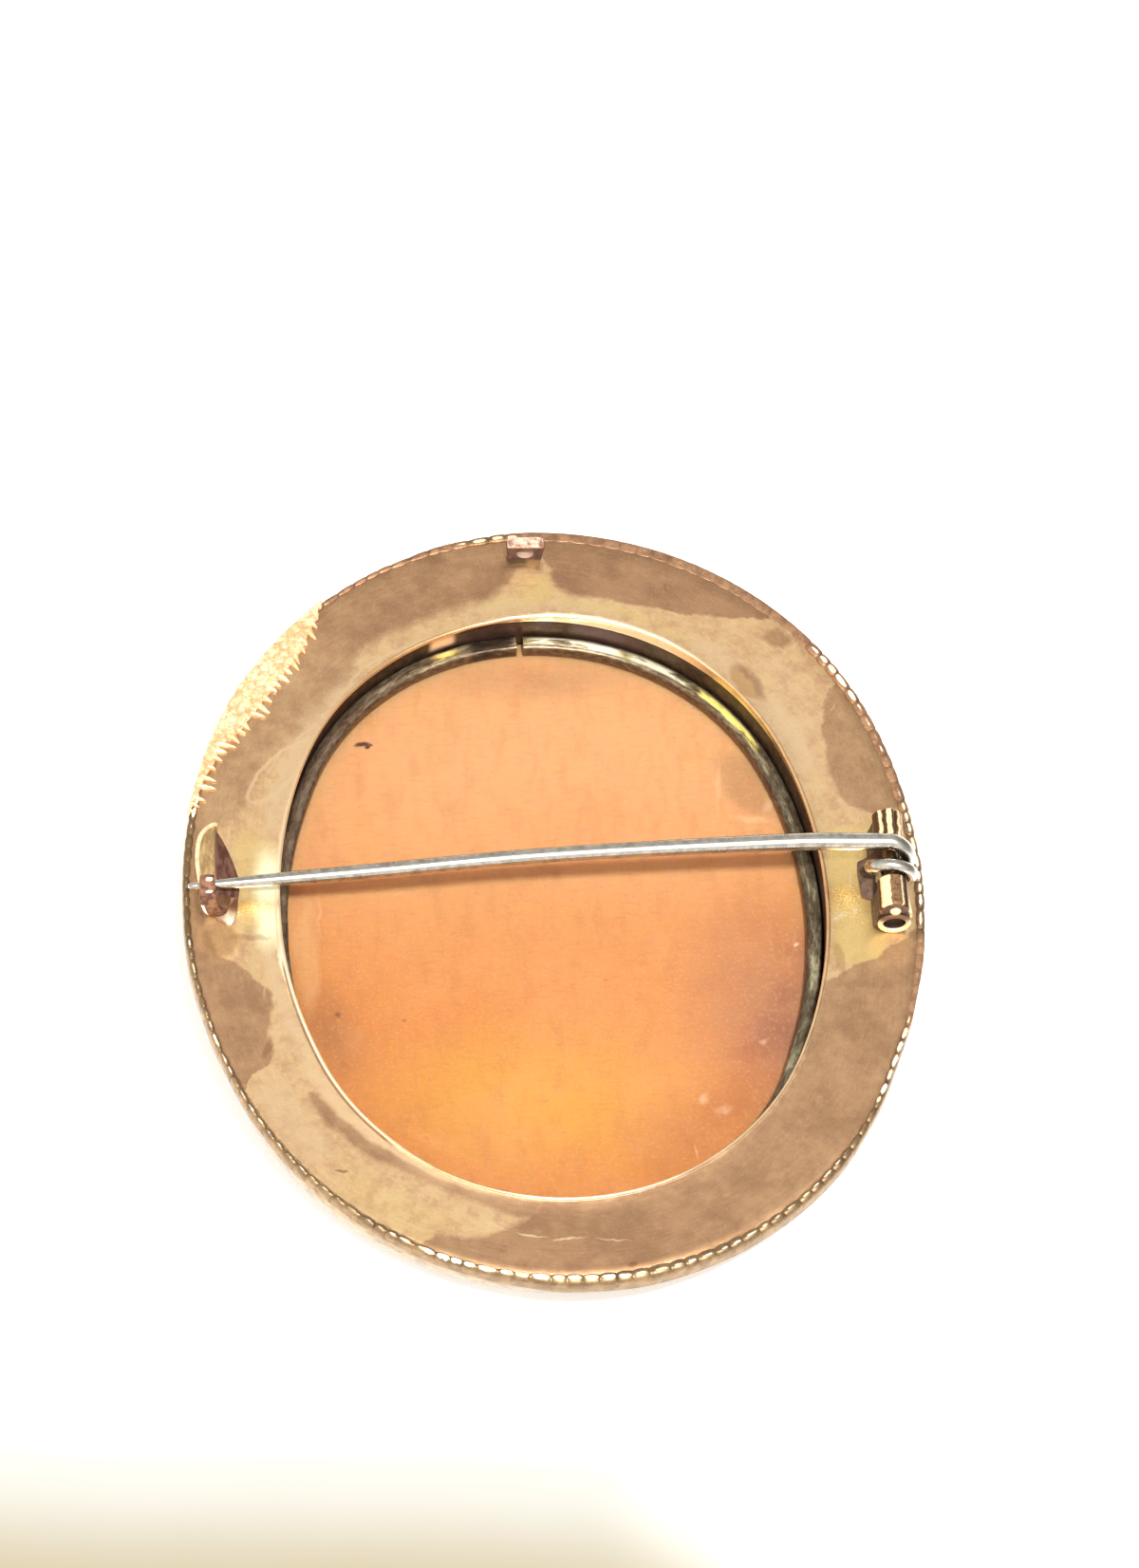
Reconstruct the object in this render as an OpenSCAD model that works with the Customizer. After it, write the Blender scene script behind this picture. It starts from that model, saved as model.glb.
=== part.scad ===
// Oval cameo brooch, lying on its front with its back and its pin upward.
// Millimetres. X runs along the pin, Y along the long axis with the top at +Y, Z up.
// The origin is the middle of the face that it rests on.

/* [Opening] */
// Width of the oval opening in the back, measured along the pin
opening_w = 31; // [28:0.5:36]
// Length of the oval opening along the long axis
opening_l = 38; // [37:0.5:46]

/* [Frame] */
// Width of the flat back plate, from the opening to the milled edge
plate_w = 4.95; // [4.5:0.05:7]
// Thickness of the back plate
plate_t = 0.6; // [0.4:0.05:0.9]
// Height of the brooch's body, from the front border's crest to the back plate's face
body_h = 5; // [4.8:0.1:8]
// Thickness of the front border's sheet
sheet_t = 0.4; // [0.3:0.05:0.5]
// Height of the front border's convex part
border_h = 3.9; // [2.8:0.1:4]
// How far the convex part stands in from the back plate's outer edge
shoulder = 0.4; // [0:0.05:0.6]
// Distance from the opening's edge to the border's crest
crest_u = 1.4; // [1.4:0.1:2.4]
// Width of the flat that wear has left on the border's crest
crest_flat = 0.6; // [0.3:0.1:1]
// Height of the polished lip above the back plate's face
lip_h = 0.16; // [0.05:0.01:0.4]
// Width of the polished lip
lip_w = 0.42; // [0.3:0.01:0.8]

/* [Milled edge] */
// How far the milled edge stands out past the back plate
edge_out = 0.35; // [0.3:0.01:0.6]
// Height of the milled edge
edge_h = 1.15; // [0.8:0.05:1.6]
// How far the milled edge stands above the back plate's face
edge_rise = 0.18; // [0.1:0.01:0.4]
// How far the milled edge is rubbed over the back plate
edge_over = 0.15; // [0.05:0.01:0.3]
// Distance from one milled groove to the next
groove_pitch = 0.92; // [0.7:0.01:1.4]
// Radius of a milled groove
groove_r = 0.22; // [0.1:0.01:0.3]

/* [Fringe] */
// Thickness of the spikes that are turned over the back plate
fringe_t = 0.22; // [0.1:0.01:0.4]
// Length of the longest spike, measured inward from the milled edge
fringe_l = 2.1; // [1:0.05:3]
// Distance from one spike to the next along the edge
fringe_pitch = 0.95; // [0.8:0.05:1.5]

/* [Cameo] */
// Depth of the shell's back below the back plate's face
cameo_depth = 2.85; // [2.4:0.05:2.9]
// Thickness of the shell at its edge
cameo_t = 1.15; // [0.9:0.05:1.4]
// How far the front swells past its flat edge
cameo_dome = 0.3; // [0.1:0.05:0.4]
// How deep the back is hollowed
cameo_hollow = 0.25; // [0:0.05:0.4]
// Height of the carved relief
relief_h = 0.6; // [0.3:0.05:0.7]
// How far the bezel's flange reaches over the shell's front
flange_in = 0.9; // [0.5:0.05:1.5]

/* [Retaining ring] */
// Side of the ring's rounded section
ring_t = 0.95; // [0.6:0.05:1.2]
// Width of the split in the ring
ring_split = 0.4; // [0.2:0.05:1]
// Distance of the split from the long axis
split_x = -0.75; // [-4:0.05:4]

/* [Hinge] */
// How far the hinge's axis lies in from the back plate's outer edge
hinge_in = 1.45; // [1:0.05:2.4]
// Height of the hinge's axis above the back plate's face
hinge_h = 2.1; // [1.8:0.05:2.6]
// Where the hinge starts along the long axis
hinge_y = -2.1; // [-4:0.1:0]
// Length of the knuckle nearer the foot of the brooch
knuckle_near = 1.9; // [1:0.1:3]
// Length of the knuckle nearer the top of the brooch
knuckle_far = 1.75; // [1:0.1:3]
// Slot between the two knuckles
hinge_slot = 2.55; // [2.3:0.05:3.5]
// Outer diameter of a knuckle
knuckle_d = 1.7; // [1.5:0.05:2.2]
// Diameter of the rivet
rivet_d = 0.84; // [0.6:0.02:0.86]
// Clearance between the rivet and what turns on it, on the radius
running_fit = 0.07; // [0.03:0.01:0.1]
// Clearance between the coil and each knuckle
side_fit = 0.06; // [0.03:0.01:0.15]
// Width of the hinge bracket's foot
bracket_w = 2.5; // [2:0.1:3]

/* [Pin] */
// Diameter of the pin's wire at the hinge
wire_d = 0.96; // [0.7:0.02:1]
// Diameter of the wire just before its point
point_d = 0.56; // [0.3:0.02:0.6]
// How far the pin's point lies in from the back plate's outer edge
point_in = 0.05; // [0:0.05:0.6]
// Where the point lies along the long axis
point_y = 0.55; // [0:0.05:1]
// Height of the point above the back plate's face
point_h = 1.3; // [1:0.05:1.6]

/* [Catch] */
// How far the hook's middle lies in from the back plate's outer edge
catch_in = 1.15; // [1:0.05:2.4]
// Width of the hook's strip
hook_w = 1.25; // [0.8:0.05:1.6]
// Thickness of the hook's strip
hook_t = 0.38; // [0.25:0.02:0.5]
// Outer radius of the hook
hook_r = 1.3; // [1.1:0.05:1.5]
// Length of the catch's leaf-shaped foot
leaf_l = 7; // [5:0.1:8]
// Width of the catch's leaf-shaped foot
leaf_w = 2.5; // [2:0.1:3]
// Height of the leaf's ridge above the back plate's face
leaf_h = 0.5; // [0.3:0.05:0.7]

/* [Lug] */
// Width of the lug at its top
lug_w = 2.2; // [1.8:0.1:3]
// Width of the lug at its foot
lug_foot_w = 1.8; // [1.6:0.1:2.4]
// Thickness of the lug
lug_t = 0.66; // [0.4:0.02:1]
// Height of the lug above the back plate's face
lug_h = 1.76; // [1.5:0.02:2.2]
// Diameter of the hole through the lug
lug_hole_d = 0.86; // [0.6:0.02:1]
// Distance of the lug from the long axis
lug_x = -0.4; // [-3:0.1:3]

/* [Hidden] */
$fn = 48;
// Gap kept between pieces that only lie together
seat_gap = 0.04;

// The opening is an oval of four arcs, and every line at an equal distance from it is one too.
// Where the arcs meet, the centres of a side arc and an end arc lie in line. That line rises 5 for
// each 12 across, so the centres lie 13 apart, and the arcs' ends come out at round numbers.
half_w = opening_w / 2;
half_l = opening_l / 2;
end_c = (opening_l - opening_w) / 1.6;
side_c = end_c * 12 / 5;
end_r = half_l - end_c;
side_r = half_w + side_c;
side_half = atan(5 / 12);
end_half = 90 - side_half;
// The four arcs in turn: centre across, centre up, start angle, angle, radius
oval_arcs = [
    [-side_c, 0, -side_half, 2 * side_half, side_r],
    [0, end_c, side_half, 2 * end_half, end_r],
    [side_c, 0, 180 - side_half, 2 * side_half, side_r],
    [0, -end_c, 180 + side_half, 2 * end_half, end_r]];

// Heights
plate_z = body_h - plate_t;
ledge_z = plate_z - seat_gap;
cameo_back_z = body_h - cameo_depth;
cameo_edge_z = cameo_back_z - cameo_t;
flange_top_z = cameo_edge_z - seat_gap;
flange_z = flange_top_z - sheet_t;
ring_z = cameo_back_z + seat_gap;
edge_top_z = body_h + edge_rise;
edge_foot_z = edge_top_z - edge_h;
axis_z = body_h + hinge_h;

// Distances outward from the opening's edge
edge_crest = plate_w + edge_out;
wall_out = plate_w - shoulder;
wall_in = wall_out - sheet_t;

// Hinge and pin
plate_x = half_w + plate_w;
hinge_x = plate_x - hinge_in;
point_x = point_in - plate_x;
coil_r = rivet_d / 2 + running_fit + wire_d / 2;
slot_y0 = hinge_y + knuckle_near;
slot_y1 = slot_y0 + hinge_slot;
hinge_y1 = slot_y1 + knuckle_far;
coil_y0 = slot_y0 + side_fit + wire_d / 2;
coil_y1 = slot_y1 - side_fit - wire_d / 2;
bore_d = rivet_d + 2 * running_fit;
rivet_in = 0.35;

bracket_t = 0.25;
bracket_x1 = hinge_x + 0.8;
bracket_x0 = bracket_x1 - bracket_w;
// Rows of the stem, from the coil to the point: share of its length, diameter
stem_rows = [
    [0, wire_d * 0.86],
    [0.03, wire_d * 0.98],
    [0.3, wire_d * 0.92],
    [0.8, wire_d * 0.82],
    [0.95, point_d],
    [1, point_d * 0.3]];

// Lug and catch
catch_x = catch_in - plate_x;
lug_y1 = half_l + plate_w - 0.7;
lug_hole_z = lug_h - lug_hole_d / 2 - 0.33;
hook_gap = 0.12;
stem_slope = (coil_y1 - point_y) / (hinge_x - point_x);
hook_cy = point_y + stem_slope * (catch_x - point_x) - point_d / 2 - hook_gap;
leaf_y0 = hook_cy - hook_r - 0.55;
leaf_left = leaf_w * 0.42;
leaf_right = leaf_w - leaf_left;
leaf_x = catch_x + 0.45;

// Front border and fringe
bezel_u = 0.5;
fringe_start = 5.4;
fringe_z = body_h + 1.5 * seat_gap;
// Length of each spike from the catch to the top, as a share of the longest
fringe_lengths = [0.3, 0.32, 0.34, 0.4, 0.44, 0.52, 0.72, 0.78, 0.7, 1, 0.75, 0.95, 0.7, 0.86, 0.8, 0.45, 0.32];

// Cameo: its own half width, and its rings of points as shares of the way from the middle
cameo_gap = 0.08;
cameo_w = half_w - cameo_gap;
cameo_n = 84;
dome_share = 0.92;
front_shares = concat([1, dome_share], [for (k = [1 : 19]) dome_share * (1 - k / 20)]);
back_shares = [1, 0.66, 0.33];
// Open blossoms: place across, place up, radius (shares of the shell's half width), petals, turn, height
blossoms = [
    [0.02, 0.06, 0.36, 5, 18, 1],
    [-0.3, 0.5, 0.25, 5, 50, 0.8],
    [0.3, -0.44, 0.25, 5, 0, 0.8],
    [0.34, 0.56, 0.16, 5, 30, 0.65],
    [-0.28, -0.6, 0.16, 5, 10, 0.65]];
// Leaves: stalk's place across and up, length, half width, turn, height
leaves = [
    [0.15, 0.3, 0.5, 0.13, 60, 0.6],
    [0.25, 0.2, 0.46, 0.13, 20, 0.6],
    [-0.15, 0.35, 0.6, 0.13, 95, 0.55],
    [-0.25, 0.15, 0.44, 0.13, 160, 0.6],
    [-0.2, -0.1, 0.44, 0.13, 205, 0.6],
    [-0.1, -0.2, 0.6, 0.14, 245, 0.55],
    [0.1, -0.25, 0.66, 0.13, 275, 0.55],
    [0.25, -0.1, 0.44, 0.13, 335, 0.6]];

// The wedge of the plane that holds the right side arc, or with top set the top end arc
module wedge(top) {
    corner = [4 * 12, end_c + 4 * 5];
    far = 60;
    translate([0, 0, -far]) linear_extrude(2 * far)
        polygon(top ? [[0, end_c], corner, [corner.x, far], [-corner.x, far], [-corner.x, corner.y]]
                    : [[0, end_c], [0, -end_c], [corner.x, -corner.y], corner]);
}

// Sweeps the profile drawn in (distance outward from the opening, height) round the oval
module oval_sweep() {
    for (turn = [0, 180]) rotate([0, 0, turn]) {
        intersection() {
            translate([-side_c, 0, 0]) rotate_extrude() translate([side_r, 0]) children();
            wedge(false);
        }
        intersection() {
            translate([0, end_c, 0]) rotate_extrude() translate([end_r, 0]) children();
            wedge(true);
        }
    }
}

// Places children along the oval, one for each step, with X outward from the opening's edge
module along_oval(pitch, u) {
    for (a = oval_arcs) {
        n = round(a[3] * PI / 180 * (a[4] + u) / pitch);
        for (i = [0 : n - 1])
            translate([a[0], a[1], 0])
                rotate([0, 0, a[2] + a[3] * (i + 0.5) / n])
                    translate([a[4] + u, 0, 0]) children();
    }
}

// Places children on the oval at a distance along it from the left side's middle toward the top
module at_edge(along, u) {
    side_len = side_half * PI / 180 * (side_r + u);
    if (along < side_len)
        translate([side_c, 0, 0])
            rotate([0, 0, 180 - along / (side_r + u) * 180 / PI])
                translate([side_r + u, 0, 0]) children();
    else
        translate([0, end_c, 0])
            rotate([0, 0, 180 - side_half - (along - side_len) / (end_r + u) * 180 / PI])
                translate([end_r + u, 0, 0]) children();
}

// Points of a part of an ellipse from the angle a0 to a1 about a centre
function arc_pts(c, rx, ry, a0, a1, n = 7) =
    [for (i = [0 : n]) let (a = a0 + (a1 - a0) * i / n) c + [rx * cos(a), ry * sin(a)]];

// Section of the hollow front border
module border_section() {
    outer = concat(
        [[plate_w - edge_over, edge_top_z], [edge_crest, edge_top_z], [edge_crest, edge_foot_z],
         [wall_out, edge_foot_z]],
        arc_pts([crest_u + crest_flat / 2, border_h], wall_out - crest_u - crest_flat / 2, border_h, 0, -90),
        arc_pts([crest_u - crest_flat / 2, flange_z], crest_u - crest_flat / 2 - bezel_u, flange_z, -90, -180),
        [[-flange_in, flange_z], [-flange_in, flange_top_z], [0, flange_top_z], [0, ledge_z],
         [sheet_t, ledge_z], [sheet_t, flange_top_z]]);
    inner = concat(
        arc_pts([crest_u, flange_top_z], crest_u - bezel_u - sheet_t, flange_top_z - sheet_t, -180, -90),
        arc_pts([crest_u, border_h], wall_in - crest_u, border_h - sheet_t, -90, 0),
        [[wall_in, ledge_z], [plate_w + seat_gap, ledge_z],
         [plate_w + seat_gap, body_h + seat_gap], [plate_w - edge_over, body_h + seat_gap]]);
    polygon(concat(outer, inner));
}

// One spike of the fringe, pointing inward from the milled edge
module spike(l) {
    w = fringe_pitch * 0.42;
    mid = edge_out + (l - edge_out) * 0.45;
    linear_extrude(fringe_t)
        polygon([[-edge_out, -w], [-edge_out, w], [-mid, w * 0.8],
                 [-l, w * 0.15], [-l, -w * 0.15], [-mid, -w * 0.8]]);
}

module fringe() {
    for (i = [0 : len(fringe_lengths) - 1])
        at_edge(fringe_start + i * fringe_pitch, edge_crest)
            translate([0, 0, fringe_z]) spike(fringe_l * fringe_lengths[i]);
}

module front_border() {
    color("goldenrod") {
        difference() {
            oval_sweep() border_section();
            along_oval(groove_pitch, edge_crest)
                translate([groove_r * 0.3, 0, edge_foot_z - 1])
                    cylinder(r = groove_r, h = edge_h + 2, $fn = 16);
        }
        fringe();
    }
}

// The flat ring with its rolled lip
module plate_ring() {
    oval_sweep() polygon([
        [0, plate_z], [plate_w, plate_z], [plate_w, body_h], [lip_w, body_h],
        [lip_w * 0.75, body_h + lip_h], [lip_w * 0.25, body_h + lip_h], [0, body_h]]);
}

// A tube round the hinge's axis on a sloping saddle, from y0 over a length
module knuckle(y0, l) {
    translate([0, y0 + l, 0]) rotate([90, 0, 0]) {
        difference() {
            union() {
                translate([hinge_x, axis_z, 0]) cylinder(d = knuckle_d, h = l);
                linear_extrude(l) polygon([
                    [bracket_x0 + 0.3, body_h + bracket_t / 2], [bracket_x1, body_h + bracket_t / 2],
                    [hinge_x + knuckle_d * 0.42, axis_z - knuckle_d * 0.2],
                    [hinge_x - knuckle_d * 0.42, axis_z - knuckle_d * 0.2]]);
            }
            translate([hinge_x, axis_z, -1]) cylinder(d = bore_d, h = l + 2);
        }
    }
}

module hinge_bracket() {
    translate([0, 0, body_h - bracket_t]) linear_extrude(2 * bracket_t) polygon([
        [bracket_x0 + 0.5, hinge_y], [bracket_x1, hinge_y], [bracket_x1, hinge_y1],
        [bracket_x0 + 0.2, hinge_y1], [bracket_x0, slot_y0 + 1]]);
    knuckle(hinge_y, knuckle_near);
    knuckle(slot_y1, knuckle_far);
}

// Outline of the catch's foot, a leaf with its stalk end at the hook
module leaf_outline() {
    n = 9;
    right = [for (i = [0 : n]) let (t = i / n) [leaf_right * leaf_half(t), leaf_y0 + leaf_l * t]];
    left = [for (i = [n - 1 : -1 : 1]) let (t = i / n) [-leaf_left * leaf_half(t), leaf_y0 + leaf_l * t]];
    translate([leaf_x, 0]) polygon(concat(right, left));
}

// Half width of the leaf at a share of its length, as a share of the widest
function leaf_half(t) = 0.08 + 0.92 * pow(sin(180 * pow(t, 0.85)), 0.7);

// The ridged leaf on the plate and the C-shaped hook that rises from it
module catch_hook() {
    intersection() {
        translate([0, 0, body_h - 0.1]) linear_extrude(leaf_h + 0.2) leaf_outline();
        translate([0, leaf_y0 + leaf_l + 1, 0]) rotate([90, 0, 0]) linear_extrude(leaf_l + 2)
            polygon([[leaf_x - 2 * leaf_w, body_h - 0.05], [leaf_x + 2 * leaf_w, body_h - 0.05],
                     [leaf_x + leaf_right, body_h + 0.12], [leaf_x, body_h + leaf_h],
                     [leaf_x - leaf_left, body_h + 0.2], [leaf_x - 2 * leaf_w, body_h + 0.2]]);
    }
    translate([catch_x - hook_w / 2, hook_cy, body_h + hook_r])
        rotate([90, 0, 90])
            rotate([0, 0, 90])
                rotate_extrude(angle = 180) translate([hook_r - hook_t, 0]) square([hook_t, hook_w]);
    translate([catch_x - hook_w / 2, hook_cy - 0.6, body_h - 0.1])
        cube([hook_w, leaf_l * 0.35, hook_t + 0.1]);
}

module lug() {
    translate([lug_x, lug_y1, body_h]) rotate([90, 0, 0]) difference() {
        linear_extrude(lug_t) polygon([
            [-lug_foot_w / 2, -0.1], [lug_foot_w / 2, -0.1], [lug_w / 2, lug_h - 0.25],
            [lug_w / 2 - 0.25, lug_h], [-lug_w / 2 + 0.25, lug_h], [-lug_w / 2, lug_h - 0.25]]);
        translate([0, lug_hole_z, -1]) cylinder(d = lug_hole_d, h = lug_t + 2);
    }
}

// The plate with all that is soldered on it
module back_plate() {
    color("rosybrown") {
        plate_ring();
        hinge_bracket();
        catch_hook();
        lug();
    }
}

// Distance from the origin to the oval at an angle, for the oval that lies u outside the opening
function oval_radius(a, u) =
    let (c = abs(cos(a)), s = abs(sin(a)), side = side_r + u, end = end_r + u,
         joint_a = atan2(side * sin(side_half), side * cos(side_half) - side_c))
    atan2(s, c) < joint_a
        ? sqrt(side * side - pow(side_c * s, 2)) - side_c * c
        : sqrt(end * end - pow(end_c * c, 2)) + end_c * s;

// Height of one open blossom of petals, from 0 outside it to 1
function blossom(p, b) =
    let (d = [p.x / cameo_w - b[0], p.y / cameo_w - b[1]], r = norm(d) / b[2],
         a = atan2(d.y, d.x) - b[4], lobe = abs(cos(b[3] * a / 2)),
         edge = 0.7 + 0.3 * pow(lobe, 0.6))
    r >= edge ? 0 : b[5] * (r < 0.24 ? 0.72 + 0.28 * cos(r / 0.24 * 90)
                            : (0.5 + 0.5 * r / edge) * pow(1 - pow(r / edge, 5), 0.5) * (0.72 + 0.28 * lobe));

// Height of one leaf that starts at its stalk and points along its turn
function leaf(p, f) =
    let (d = [p.x / cameo_w - f[0], p.y / cameo_w - f[1]],
         along = (d.x * cos(f[4]) + d.y * sin(f[4])) / f[2],
         across = abs(d.y * cos(f[4]) - d.x * sin(f[4])) / f[3],
         half = along <= 0 || along >= 1 ? 0 : pow(sin(180 * pow(along, 0.8)), 0.8))
    across >= half || half == 0 ? 0 : f[5] * (0.45 + 0.55 * pow(1 - across / half, 0.4));

// Height of the whole carving over the field at a point
function relief(p) = relief_h * max(concat([for (b = blossoms) blossom(p, b)], [for (f = leaves) leaf(p, f)]));

// Height of the front at a point: the flat edge, the dome inside it and the carving on it
function front_z(p, share) =
    let (k = min(1, share / dome_share))
    cameo_edge_z - cameo_dome * pow(1 - k * k, 0.8) - (share < dome_share - 0.06 ? relief(p) : 0);

function back_z(share) = cameo_back_z - cameo_hollow * (1 - share * share);

// The carved shell: rings of points from the rim to the middle, in front and at the back
module cameo() {
    angles = [for (j = [0 : cameo_n - 1]) 360 * j / cameo_n];
    rim = [for (a = angles) oval_radius(a, -cameo_gap) * [cos(a), sin(a)]];
    front = [for (s = front_shares) for (p = rim) let (q = p * s) [q.x, q.y, front_z(q, s)]];
    back = [for (s = back_shares) for (p = rim) [p.x * s, p.y * s, back_z(s)]];
    nf = len(front_shares);
    nb = len(back_shares);
    b0 = nf * cameo_n;
    tip_f = b0 + nb * cameo_n;
    points = concat(front, back, [[0, 0, front_z([0, 0], 0)], [0, 0, back_z(0)]]);
    faces = concat(
        [for (k = [0 : nf - 2]) for (j = [0 : cameo_n - 1]) for (f = quad(k * cameo_n, (k + 1) * cameo_n, j)) f],
        [for (k = [0 : nb - 2]) for (j = [0 : cameo_n - 1])
            for (f = quad(b0 + (k + 1) * cameo_n, b0 + k * cameo_n, j)) f],
        [for (j = [0 : cameo_n - 1]) for (f = quad(b0, 0, j)) f],
        [for (j = [0 : cameo_n - 1]) [(nf - 1) * cameo_n + j, (nf - 1) * cameo_n + (j + 1) % cameo_n, tip_f]],
        [for (j = [0 : cameo_n - 1])
            [b0 + (nb - 1) * cameo_n + (j + 1) % cameo_n, b0 + (nb - 1) * cameo_n + j, tip_f + 1]]);
    color("peachpuff") polyhedron(points, faces);
}

// Two triangles between step j and the next on two rings of points that start at a and b
function quad(a, b, j) =
    let (k = (j + 1) % cameo_n) [[a + j, a + k, b + k], [a + j, b + k, b + j]];

// The split wire that holds the shell against the flange
module retaining_ring() {
    c = ring_t * 0.28;
    color("gray") difference() {
        oval_sweep() translate([-ring_t - seat_gap, ring_z]) polygon([
            [c, 0], [ring_t - c, 0], [ring_t, c], [ring_t, ring_t - c],
            [ring_t - c, ring_t], [c, ring_t], [0, ring_t - c], [0, c]]);
        translate([split_x - ring_split / 2, half_l - 2 * ring_t - 0.5, ring_z - 1])
            cube([ring_split, 2 * ring_t + 2, ring_t + 2]);
    }
}

// The two turns round the rivet with the metal that joins them, and the tapered stem
module pin() {
    stem_from = [hinge_x, coil_y1, axis_z + coil_r];
    stem_to = [point_x, point_y, body_h + point_h];
    v = stem_to - stem_from;
    color("silver") {
        translate([hinge_x, 0, axis_z]) rotate([-90, 0, 0]) rotate_extrude() {
            for (y = [coil_y0, coil_y1]) translate([coil_r, y]) circle(d = wire_d);
            translate([coil_r - wire_d * 0.3, coil_y0]) square([wire_d * 0.5, coil_y1 - coil_y0]);
        }
        translate(stem_from) rotate([0, acos(v.z / norm(v)), atan2(v.y, v.x)])
            rotate_extrude() polygon(concat(
                [[0, 0]], [for (r = stem_rows) [r[1] / 2, r[0] * norm(v)]], [[0, norm(v)]]));
    }
}

module hinge_rivet() {
    color("tan") translate([hinge_x, hinge_y + rivet_in, axis_z])
        rotate([-90, 0, 0]) cylinder(d = rivet_d, h = hinge_y1 - hinge_y - 2 * rivet_in);
}

front_border();
back_plate();
cameo();
retaining_ring();
pin();
hinge_rivet();
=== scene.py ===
"""The oval cameo brooch: it lies on its front, with its back and its pin toward the camera.

Lengths are millimetres in the row frame and angles are degrees, counted from +X round the oval's
centre; u is the distance outward from the edge of the oval opening.
"""

import random
from functools import reduce
from math import acos, atan2, copysign, cos, degrees, exp, floor, hypot, pi, radians, sin, sqrt

import bmesh
import bpy
from mathutils import Matrix, Vector, noise


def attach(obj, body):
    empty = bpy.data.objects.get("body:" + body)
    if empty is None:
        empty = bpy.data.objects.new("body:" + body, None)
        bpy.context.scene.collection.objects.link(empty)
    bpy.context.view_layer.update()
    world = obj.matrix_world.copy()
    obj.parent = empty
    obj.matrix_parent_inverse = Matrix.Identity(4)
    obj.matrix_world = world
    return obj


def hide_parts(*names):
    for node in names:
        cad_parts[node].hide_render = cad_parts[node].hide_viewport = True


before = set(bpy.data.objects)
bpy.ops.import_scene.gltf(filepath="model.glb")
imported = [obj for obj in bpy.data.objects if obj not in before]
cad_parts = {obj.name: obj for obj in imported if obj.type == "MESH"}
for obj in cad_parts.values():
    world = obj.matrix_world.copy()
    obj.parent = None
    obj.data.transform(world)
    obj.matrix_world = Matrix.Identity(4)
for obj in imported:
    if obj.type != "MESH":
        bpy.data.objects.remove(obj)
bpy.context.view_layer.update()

MM = 0.001
rng = random.Random(7)

# ---- sizes, as in the part's source
HALF_W, HALF_L = 15.5, 19.0
END_C = (HALF_L - HALF_W) / 0.8
SIDE_C = END_C * 12 / 5
END_R, SIDE_R = HALF_L - END_C, HALF_W + SIDE_C
SIDE_HALF = atan2(5, 12)
PLATE_W, PLATE_T, BODY_H = 4.95, 0.6, 5.0
LEDGE = BODY_H - PLATE_T - 0.04
SHEET_T, BORDER_H, CREST_U, CREST_FLAT = 0.4, 3.9, 1.4, 0.6
WALL_OUT = PLATE_W - 0.4
EDGE_CREST, EDGE_FOOT = 5.3, BODY_H - 0.97
SHELL_BACK = BODY_H - 2.85
SHELL_EDGE = SHELL_BACK - 1.15
FLANGE_TOP, FLANGE_Z, FLANGE_IN = SHELL_EDGE - 0.04, SHELL_EDGE - 0.44, 0.9
RING_T, RING_Z, RING_SPLIT, SPLIT_X = 0.95, SHELL_BACK + 0.04, 0.4, -0.75
HINGE_X, HINGE_Y, AXIS_Z = 19.0, -2.1, BODY_H + 2.1
NEAR_L, SLOT_L, FAR_L, KNUCKLE_R, BORE_R, RIVET_R = 1.9, 2.55, 1.75, 0.85, 0.49, 0.42
FAR_Y = HINGE_Y + NEAR_L + SLOT_L
HINGE_Y1 = FAR_Y + FAR_L
COIL_R, COIL_Y0, COIL_Y1 = 0.97, 0.34, 1.81
HOOK_R, HOOK_T, HOOK_W = 1.3, 0.3, 1.05
LUG_X, LUG_Y, LUG_T, LUG_W, LUG_FOOT_W, LUG_H = -0.4, 22.92, 0.66, 2.2, 1.8, 1.76
LUG_HOLE_R, LUG_HOLE_Z = 0.43, 1.0

ARCS = [  # centre across, centre up, start angle, angle, radius
    (-SIDE_C, 0, -SIDE_HALF, 2 * SIDE_HALF, SIDE_R),
    (0, END_C, SIDE_HALF, pi - 2 * SIDE_HALF, END_R),
    (SIDE_C, 0, pi - SIDE_HALF, 2 * SIDE_HALF, SIDE_R),
    (0, -END_C, pi + SIDE_HALF, pi - 2 * SIDE_HALF, END_R),
]


# ---- mesh helpers
def stations(step, u=EDGE_CREST, multiple=1):
    """Stations round the oval: centre, angle and radius of each, a multiple of them on each arc."""
    found = []
    for cx, cy, start, span, r in ARCS:
        n = round(span * (r + u) / step) * multiple
        found += [(cx, cy, start + span * i / n, r) for i in range(n)]
    return found


def at(station, u, z):
    """The point at a station, so far outward and so high."""
    cx, cy, a, r = station
    return Vector((cx + (r + u) * cos(a), cy + (r + u) * sin(a), z))


def station_at(angle):
    """The station in the direction of an angle from the oval's centre."""
    c, s = cos(radians(angle)), sin(radians(angle))
    reach, mid_w, mid_l = 20, 18, 21
    if 12 * abs(s) * reach < 5 * (abs(c) * reach + SIDE_C):
        cx, cy, r = -copysign(SIDE_C, c), 0, SIDE_R
    else:
        cx, cy, r = 0, copysign(END_C, s), END_R
    return (cx, cy, atan2(mid_l * s - cy, mid_w * c - cx), r)


def angle_of(station, u=5.0):
    p = at(station, u, 0)
    return degrees(atan2(p.y, p.x))


def value_at(table, angle, column=1):
    """A column of a table whose rows start with an angle, eased between the rows on either side."""
    for low, high in zip(table, table[1:]):
        if low[0] <= angle <= high[0]:
            t = (angle - low[0]) / (high[0] - low[0])
            return low[column] + (high[column] - low[column]) * (t * t * (3 - 2 * t))
    return table[0][column]


def turns(n):
    """Angles all the way round, in radians."""
    return [2 * pi * k / n for k in range(n)]


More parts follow.
